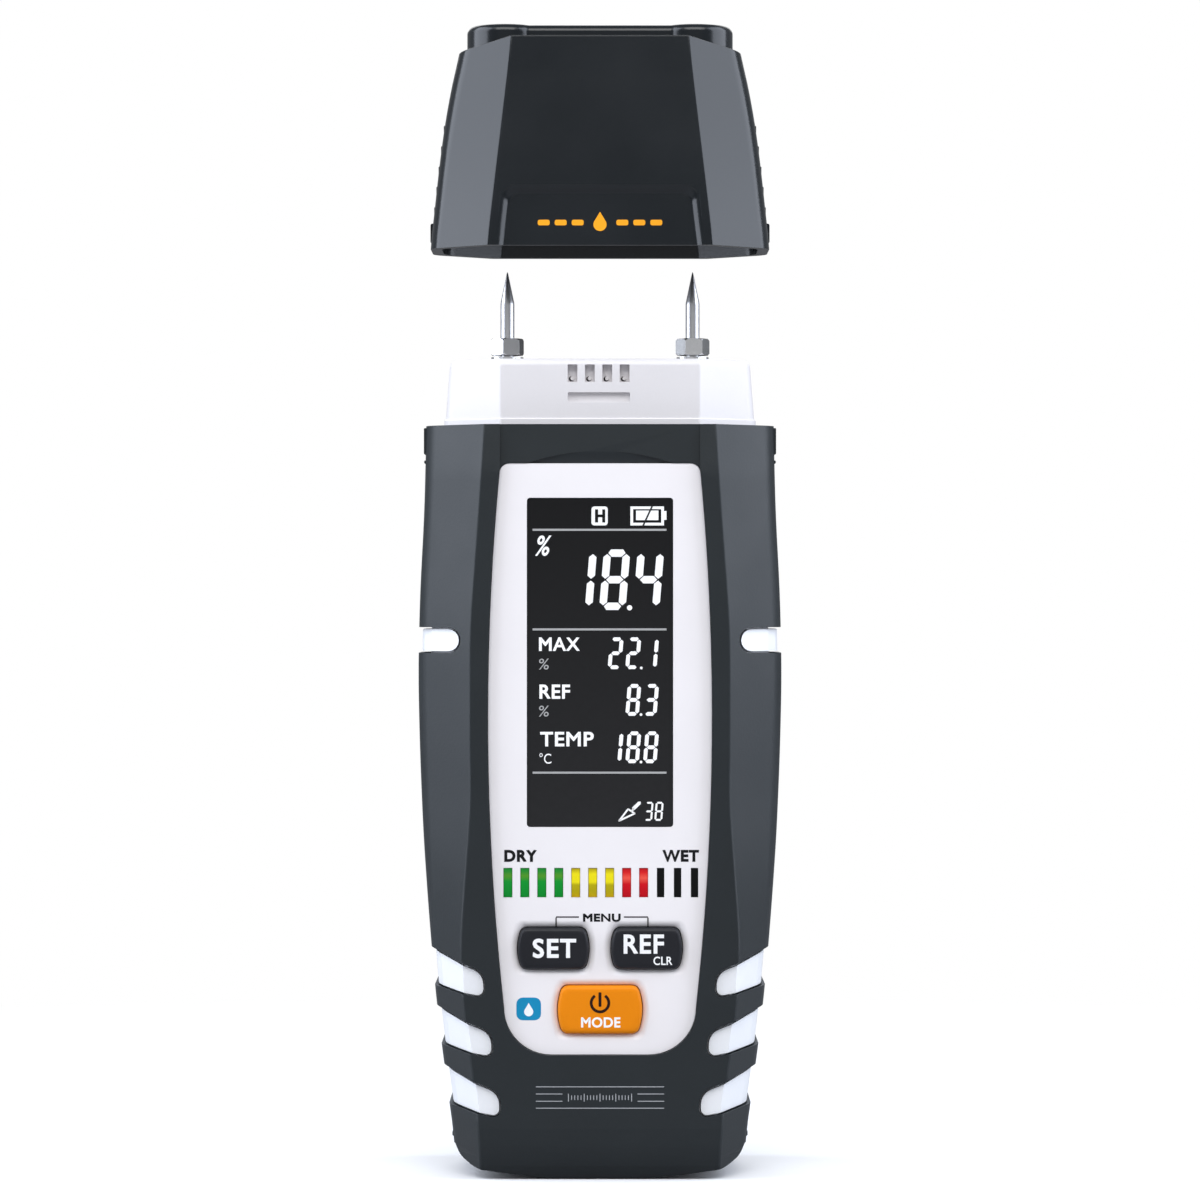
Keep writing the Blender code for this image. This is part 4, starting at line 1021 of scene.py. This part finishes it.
def build_head(surfaces):
    """White head with a stepped foot, rounded top, four vents and a recess below them."""
    rings = [head_ring(z) for z in (117.9, 120.5, 120.62, 120.75, 122, 124, 126, 128, 129.1)]
    top = HEAD_TOP - HEAD_ROUND
    for step in range(1, 7):
        angle = math.radians(15 * step)
        ring = head_ring(top, HEAD_ROUND * (1 - math.cos(angle)))
        rings.append([(x, y, top + HEAD_ROUND * math.sin(angle)) for x, y, _ in ring])
    made = solid("measuring_head", loft(rings))
    vents = [rectangle(x - VENT_HALF_WIDTH, x + VENT_HALF_WIDTH, *VENT_Z, 0.12) for x in VENT_X]
    combine(made, prisms(vents, "Y", -OUTSIDE, -10.9))
    holes = [circle((x - 0.18, VENT_Z[0] + 0.55), 0.42, 16) for x in VENT_X]
    combine(made, prisms(holes, "Y", -OUTSIDE, -8.0))
    pegs = [circle((x - 0.04, VENT_Z[0] + 0.63), 0.31, 16) for x in VENT_X]
    combine(made, prisms(pegs, "Y", -11.15, -7.8), "UNION")
    combine(made, stack([(-OUTSIDE, rectangle(-5.25, 4.9, 122.7, 124.9, 0.35)),
                         (-11.8, rectangle(-5.15, 4.8, 123.3, 124.85, 0.3))]))
    clean(made)
    soften(made, 0.14)
    dress(made, surfaces["head"], "meter", "white_housing", "sensor_head")


def build_pins(surfaces):
    """Pointed pins and chamfered hexagon nuts."""
    for name, side, turn in (("left", -1, 16), ("right", 1, 4)):
        x = side * PIN_X
        low, high = span(f"pin_{name}")
        radius = (high.x - low.x) / 2
        shoulder = high.z - 4.9
        profile = [(radius, low.z), (radius, shoulder - 0.35), (radius * 0.985, shoulder - 0.1),
                   (radius * 0.93, shoulder + 0.2), (0.09, high.z - 0.12), (0.04, high.z - 0.02), (0, high.z)]
        dress(solid(f"steel_pin_{name}", turned(profile, (x, 0))), surfaces["steel"], "meter", "steel_pin",
              f"pin_{name}", sharp=50)
        low, high = span(f"pin_nut_{name}")
        corner = 2.75
        nut = solid(f"hex_nut_{name}", turned([(corner, low.z), (corner, high.z)], (x, 0), "Z", 6,
                                              math.radians(turn)))
        rise = 0.34
        facing = corner * 0.90
        wide = corner + 0.02
        cone = [(facing, low.z), (wide, low.z + rise), (wide, high.z - rise), (facing, high.z)]
        combine(nut, turned(cone, (x, 0)), "INTERSECT")
        combine(nut, turned([(radius + 0.28, low.z - 1), (radius + 0.28, high.z + 1)], (x, 0), "Z", 32))
        soften(nut, 0.15, 3, 25)
        dress(nut, surfaces["nut"], "meter", "steel_nut", f"pin_nut_{name}", sharp=24)


# Cap

def cap_loft(inset, heights):
    """Loft of the tapered cap through some heights, inset from its outer skin."""
    def at(height):
        values = [smoothed([(row[0], row[column]) for row in CAP_ROWS], height, 3.0) for column in (1, 2, 3)]
        values[1] -= inset / 2
        return full_ring(quarter(*values, CAP_SIDE_FLAT, CAP_ROUNDS, inset), height)

    return loft([at(height) for height in heights])


def crown_loft():
    """Crown with a rounded top edge and a web that sits a little lower than its lobes."""
    rings = [[(x, y, ROOF[0][1] - 3) for x, y in crown_outline(0)]]
    radius = 1.2
    for step in range(7):
        angle = math.radians(15 * step)
        level = CROWN_TOP - radius + radius * math.sin(angle)
        ring = []
        for x, y in crown_outline(radius * (1 - math.cos(angle))):
            dip = 0.2 * min(1.0, max(0.0, (CROWN_X - 3 - abs(x)) / 3)) * step / 6
            ring.append((x, y, level - dip))
        rings.append(ring)
    return loft(rings)


def cap_face(height):
    """Y of the cap's leaning front face at a height."""
    low, high = CAP_ROWS[0], CAP_ROWS[2]
    slope = (low[3] - high[3]) / (high[0] - low[0])
    return -low[3] + slope * (height - CAP_RIM)


def badge_tool():
    """Cutter for the recess in the cap's front, with slanted walls, leaning with the face."""
    def outline(grow):
        low, high = (half + grow for half in BADGE_HALF_WIDTHS)
        top = BADGE_TOP + 0.9 * grow
        foot = CAP_RIM - 2
        return rounded([(low, foot, 0), (high, top, 2.0), (-high, top, 2.0), (-low, foot, 0)], 8)

    return loft([[(x, cap_face(z) + deep, z) for x, z in outline(grow)] for deep, grow in BADGE_WALL])


def build_cap(surfaces):
    """Protective cap: tapered shell, roof, crown with two bores, recess, side ribs and pads."""
    below = CAP_RIM - 6
    made = solid("cap_body", cap_loft(0, [below, *stations(CAP_RIM, CAP_LAST_ROW, 2.6), CAP_ROWS[-1][0]]))
    right = [*ROOF, (OUTSIDE, CROWN_TOP + 10)]
    combine(made, prisms([right + [(-x, z) for x, z in reversed(right)]], "Y", -OUTSIDE, OUTSIDE))
    soften(made, 1.4, 6, 40)
    combine(made, prisms([rectangle(-OUTSIDE, OUTSIDE, -OUTSIDE, OUTSIDE)], "Z", below - 5, CAP_RIM))
    for z, reach, proud, tall in CAP_RIBS:
        half = smoothed([row[:2] for row in CAP_ROWS], z, 3.0)
        for side in (-1, 1):
            x0, x1 = sorted((side * (half - 1), side * (half + proud)))
            rib = rectangle(x0, x1, z - tall, z + tall, min(0.4, proud))
            combine(made, prisms([rib], "Y", -reach, reach), "UNION")
    combine(made, crown_loft(), "UNION")
    combine(made, cap_loft(CAP_WALL, [below, *stations(CAP_RIM, CAP_CEILING, 8.0)]))
    combine(made, prisms([crown_outline(CAP_WALL)], "Z", CAP_CEILING - 1, CROWN_TOP - CAP_WALL))
    bores = [circle((x, 0), CONTACT_HOLE) for x in (-PIN_X, PIN_X)]
    combine(made, prisms(bores, "Z", CROWN_TOP - 5, CROWN_TOP + 5))
    combine(made, badge_tool())
    clean(made)
    soften(made, 0.22, 3, 40)
    dress(made, surfaces["cap"], "cap", "cap_plastic", "cap_shell")

    mark = [drop_outline(0, 151.4, 1.05)]
    for side in (-1, 1):
        for number in range(3):
            near = 2.6 + 2.7 * number
            x0, x1 = sorted((side * near, side * (near + 1.9)))
            mark.append(rectangle(x0, x1, 151.25, 152.15, 0.3))
    made = solid("cap_mark", prisms(mark, "Y", 0, INK + 0.04))
    for vertex in made.data.vertices:
        vertex.co.y += (cap_face(vertex.co.z / MM) + BADGE_WALL[-1][0] - INK) * MM
    dress(made, surfaces["ink_orange"], "cap", "amber_key")


# Back of the meter

def build_door(surfaces):
    """Battery door with round corners, a row of grip ridges and a finger dish."""
    low, high = span("battery_door")
    outline = rectangle(low.x, high.x, low.z, high.z, DOOR_CORNER)
    made = solid("door_panel", prisms([outline], "Y", low.y, high.y))
    dish = rectangle(low.x + 4.5, high.x - 4.5, high.z - 14.5, high.z - 3.0, 2.5)
    inner = rectangle(low.x + 5.3, high.x - 5.3, high.z - 13.7, high.z - 3.8, 2.0)
    combine(made, stack([(OUTSIDE, dish), (high.y, dish), (high.y - 0.7, inner)]))
    for number in range(5):
        z = high.z - 12.6 + 1.9 * number
        ridge = rectangle(-7.2, 7.2, z, z + 0.8, 0.35)
        combine(made, prisms([ridge], "Y", high.y - 1.0, high.y - 0.1), "UNION")
    for z in (low.z + 4.0, low.z + 36.0):
        groove = [rectangle(low.x + 4.5, high.x - 4.5, z, z + 0.5, 0.2)]
        combine(made, prisms(groove, "Y", high.y - 0.3, OUTSIDE))
    clean(made)
    soften(made, 0.3)
    dress(made, surfaces["door"], "battery_door", "door_plastic", "battery_door")


def build_screws(surfaces):
    """Case screws with rounded heads and cross recesses."""
    for number, (x, z) in enumerate(screw_places(), 1):
        low, high = span(f"case_screw_{number}")
        seat = high.y - 1.6
        profile = [(1.3, low.y), (1.3, seat), (2.35, seat), (2.35, seat + 0.7), (2.2, seat + 1.15),
                   (1.7, seat + 1.45), (0.9, high.y), (0, high.y)]
        made = solid(f"screw_{number}", turned(profile, (x, z), "Y", 32))
        cross = [rectangle(x - 1.25, x + 1.25, z - 0.26, z + 0.26, 0.1),
                 rectangle(x - 0.26, x + 0.26, z - 1.25, z + 1.25, 0.1)]
        for arm in cross:
            combine(made, prisms([arm], "Y", high.y - 0.9, OUTSIDE))
        soften(made, 0.06, 1)
        dress(made, surfaces["screw"], "meter", "zinc_screw", f"case_screw_{number}", sharp=30)


# CAD pieces that stay

def dress_frame(surfaces):
    """Give each CAD piece that is still shown its own surface."""
    finishes = {
        "housing": ("front_housing", "rear_housing"),
        "lcd_dark": ("lcd_panel", "lcd_frame"),
        "lcd_white": ("lcd_backlight",),
        "board": ("main_board", "cap_test_board"),
        "chip": ("microcontroller", "buzzer", "temperature_sensor", "switch_set", "switch_ref",
                 "switch_mode"),
        "shield": ("radio_module",),
        "screw": tuple(f"board_screw_{number}" for number in range(1, 5)),
        "nut": ("pin_socket_left", "pin_socket_right"),
        "brass": ("cap_contact_left", "cap_contact_right"),
        "plated": ("battery_bridge", "battery_contact_plus", "battery_contact_minus", "battery_spring_1",
                   "battery_spring_2"),
        "wire": ("pin_lead_left", "pin_lead_right"),
        "cell_up": ("battery_1",),
        "cell_down": ("battery_2",),
    }
    for surface, names in finishes.items():
        for name in names:
            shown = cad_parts[name]
            shown.data.materials.clear()
            shown.data.materials.append(surfaces[surface])


# Camera, light and floor

def build_camera():
    """Long lens, level with the middle of the object."""
    camera = bpy.data.objects.new("camera", bpy.data.cameras.new("camera"))
    camera.data.lens = CAMERA_LENS
    camera.data.sensor_width = 36
    camera.data.clip_start = 0.01
    camera.location = (0, -CAMERA_DISTANCE, CAMERA_HEIGHT)
    camera.rotation_euler = (math.pi / 2, 0, 0)
    bpy.context.scene.collection.objects.link(camera)
    bpy.context.scene.camera = camera


def softbox(name, place, target, size, radiance, tint=(1, 1, 1)):
    """Rectangular lamp that faces a target, with its brightness given as radiance."""
    light = bpy.data.lights.new(name, "AREA")
    light.shape = "RECTANGLE"
    light.size, light.size_y = size
    light.energy = radiance * math.pi * size[0] * size[1]
    light.color = tint
    made = bpy.data.objects.new(name, light)
    made.location = place
    made.rotation_euler = (Vector(target) - Vector(place)).to_track_quat("-Z", "Y").to_euler()
    bpy.context.scene.collection.objects.link(made)


def build_lights():
    """Cool softboxes beside the object, one high in front over a weak low one, one behind, and a surround."""
    middle = (0, 0, 0.09)
    cool = (0.82, 0.88, 1.0)
    softbox("softbox_left", (-0.62, -0.09, 0.41), middle, (0.66, 0.8), 4.25, cool)
    softbox("softbox_right", (0.62, -0.09, 0.41), middle, (0.66, 0.8), 3.85, cool)
    softbox("softbox_front", (0, -0.74, 0.88), middle, (1.0, 0.6), 4.1)
    softbox("softbox_fill", (0, -1.15, 0.10), middle, (1.0, 0.4), 0.35)
    softbox("softbox_back", (0, 0.9, 0.6), middle, (0.9, 0.5), 1.4)
    world = bpy.data.worlds.new("surround")
    world.use_nodes = True
    tree = world.node_tree
    seen = node(tree, "ShaderNodeLightPath").outputs["Is Camera Ray"]
    surround = node(tree, "ShaderNodeBackground", {"Color": (0.93, 0.96, 1.0, 1.0), "Strength": 0.26})
    backdrop = node(tree, "ShaderNodeBackground", {"Color": (1, 1, 1, 1), "Strength": 1.0})
    blend = node(tree, "ShaderNodeMixShader", {"Fac": seen})
    tree.links.new(surround.outputs[0], blend.inputs[1])
    tree.links.new(backdrop.outputs[0], blend.inputs[2])
    tree.links.new(blend.outputs[0], tree.nodes["World Output"].inputs["Surface"])
    bpy.context.scene.world = world
    bpy.context.scene.view_settings.view_transform = "Standard"


def build_floor():
    """Pale floor that brightens into the white backdrop away from the object."""
    bm = bmesh.new()
    bmesh.ops.create_grid(bm, x_segments=8, y_segments=8, size=6.0)
    mesh = bpy.data.meshes.new("floor")
    bm.to_mesh(mesh)
    bm.free()
    floor = bpy.data.objects.new("floor", mesh)
    floor.location.z = -0.0002
    bpy.context.scene.collection.objects.link(floor)
    made = bpy.data.materials.new("floor_pale")
    made.use_nodes = True
    tree = made.node_tree
    shader = tree.nodes["Principled BSDF"]
    shader.inputs["Roughness"].default_value = 0.6
    coordinates = node(tree, "ShaderNodeTexCoord").outputs["Object"]
    distance = node(tree, "ShaderNodeVectorMath", {0: coordinates}, operation="LENGTH").outputs["Value"]
    far = remap(tree, distance, 0.06, 0.35)
    seen = node(tree, "ShaderNodeLightPath").outputs["Is Camera Ray"]
    pale = mix(tree, seen, (0.30, 0.30, 0.31, 1), (0.92, 0.92, 0.93, 1))
    tree.links.new(pale, shader.inputs["Base Color"])
    both = node(tree, "ShaderNodeMath", {0: far, 1: seen}, operation="MULTIPLY").outputs["Value"]
    glow = node(tree, "ShaderNodeEmission", {"Color": (1, 1, 1, 1), "Strength": 1.0})
    blend = node(tree, "ShaderNodeMixShader", {"Fac": both})
    tree.links.new(shader.outputs[0], blend.inputs[1])
    tree.links.new(glow.outputs[0], blend.inputs[2])
    tree.links.new(blend.outputs[0], tree.nodes["Material Output"].inputs["Surface"])
    mesh.materials.append(made)


def main():
    """Build every piece round the frame."""
    build_camera()
    surfaces = make_materials()
    build_front_skin(surfaces)
    build_rear_skin(surfaces)
    build_panel(surfaces)
    build_window(surfaces)
    build_readings(surfaces)
    build_bars(surfaces)
    build_keys(surfaces)
    build_prints(surfaces)
    build_head(surfaces)
    build_pins(surfaces)
    build_cap(surfaces)
    build_door(surfaces)
    build_screws(surfaces)
    dress_frame(surfaces)
    build_lights()
    build_floor()


main()
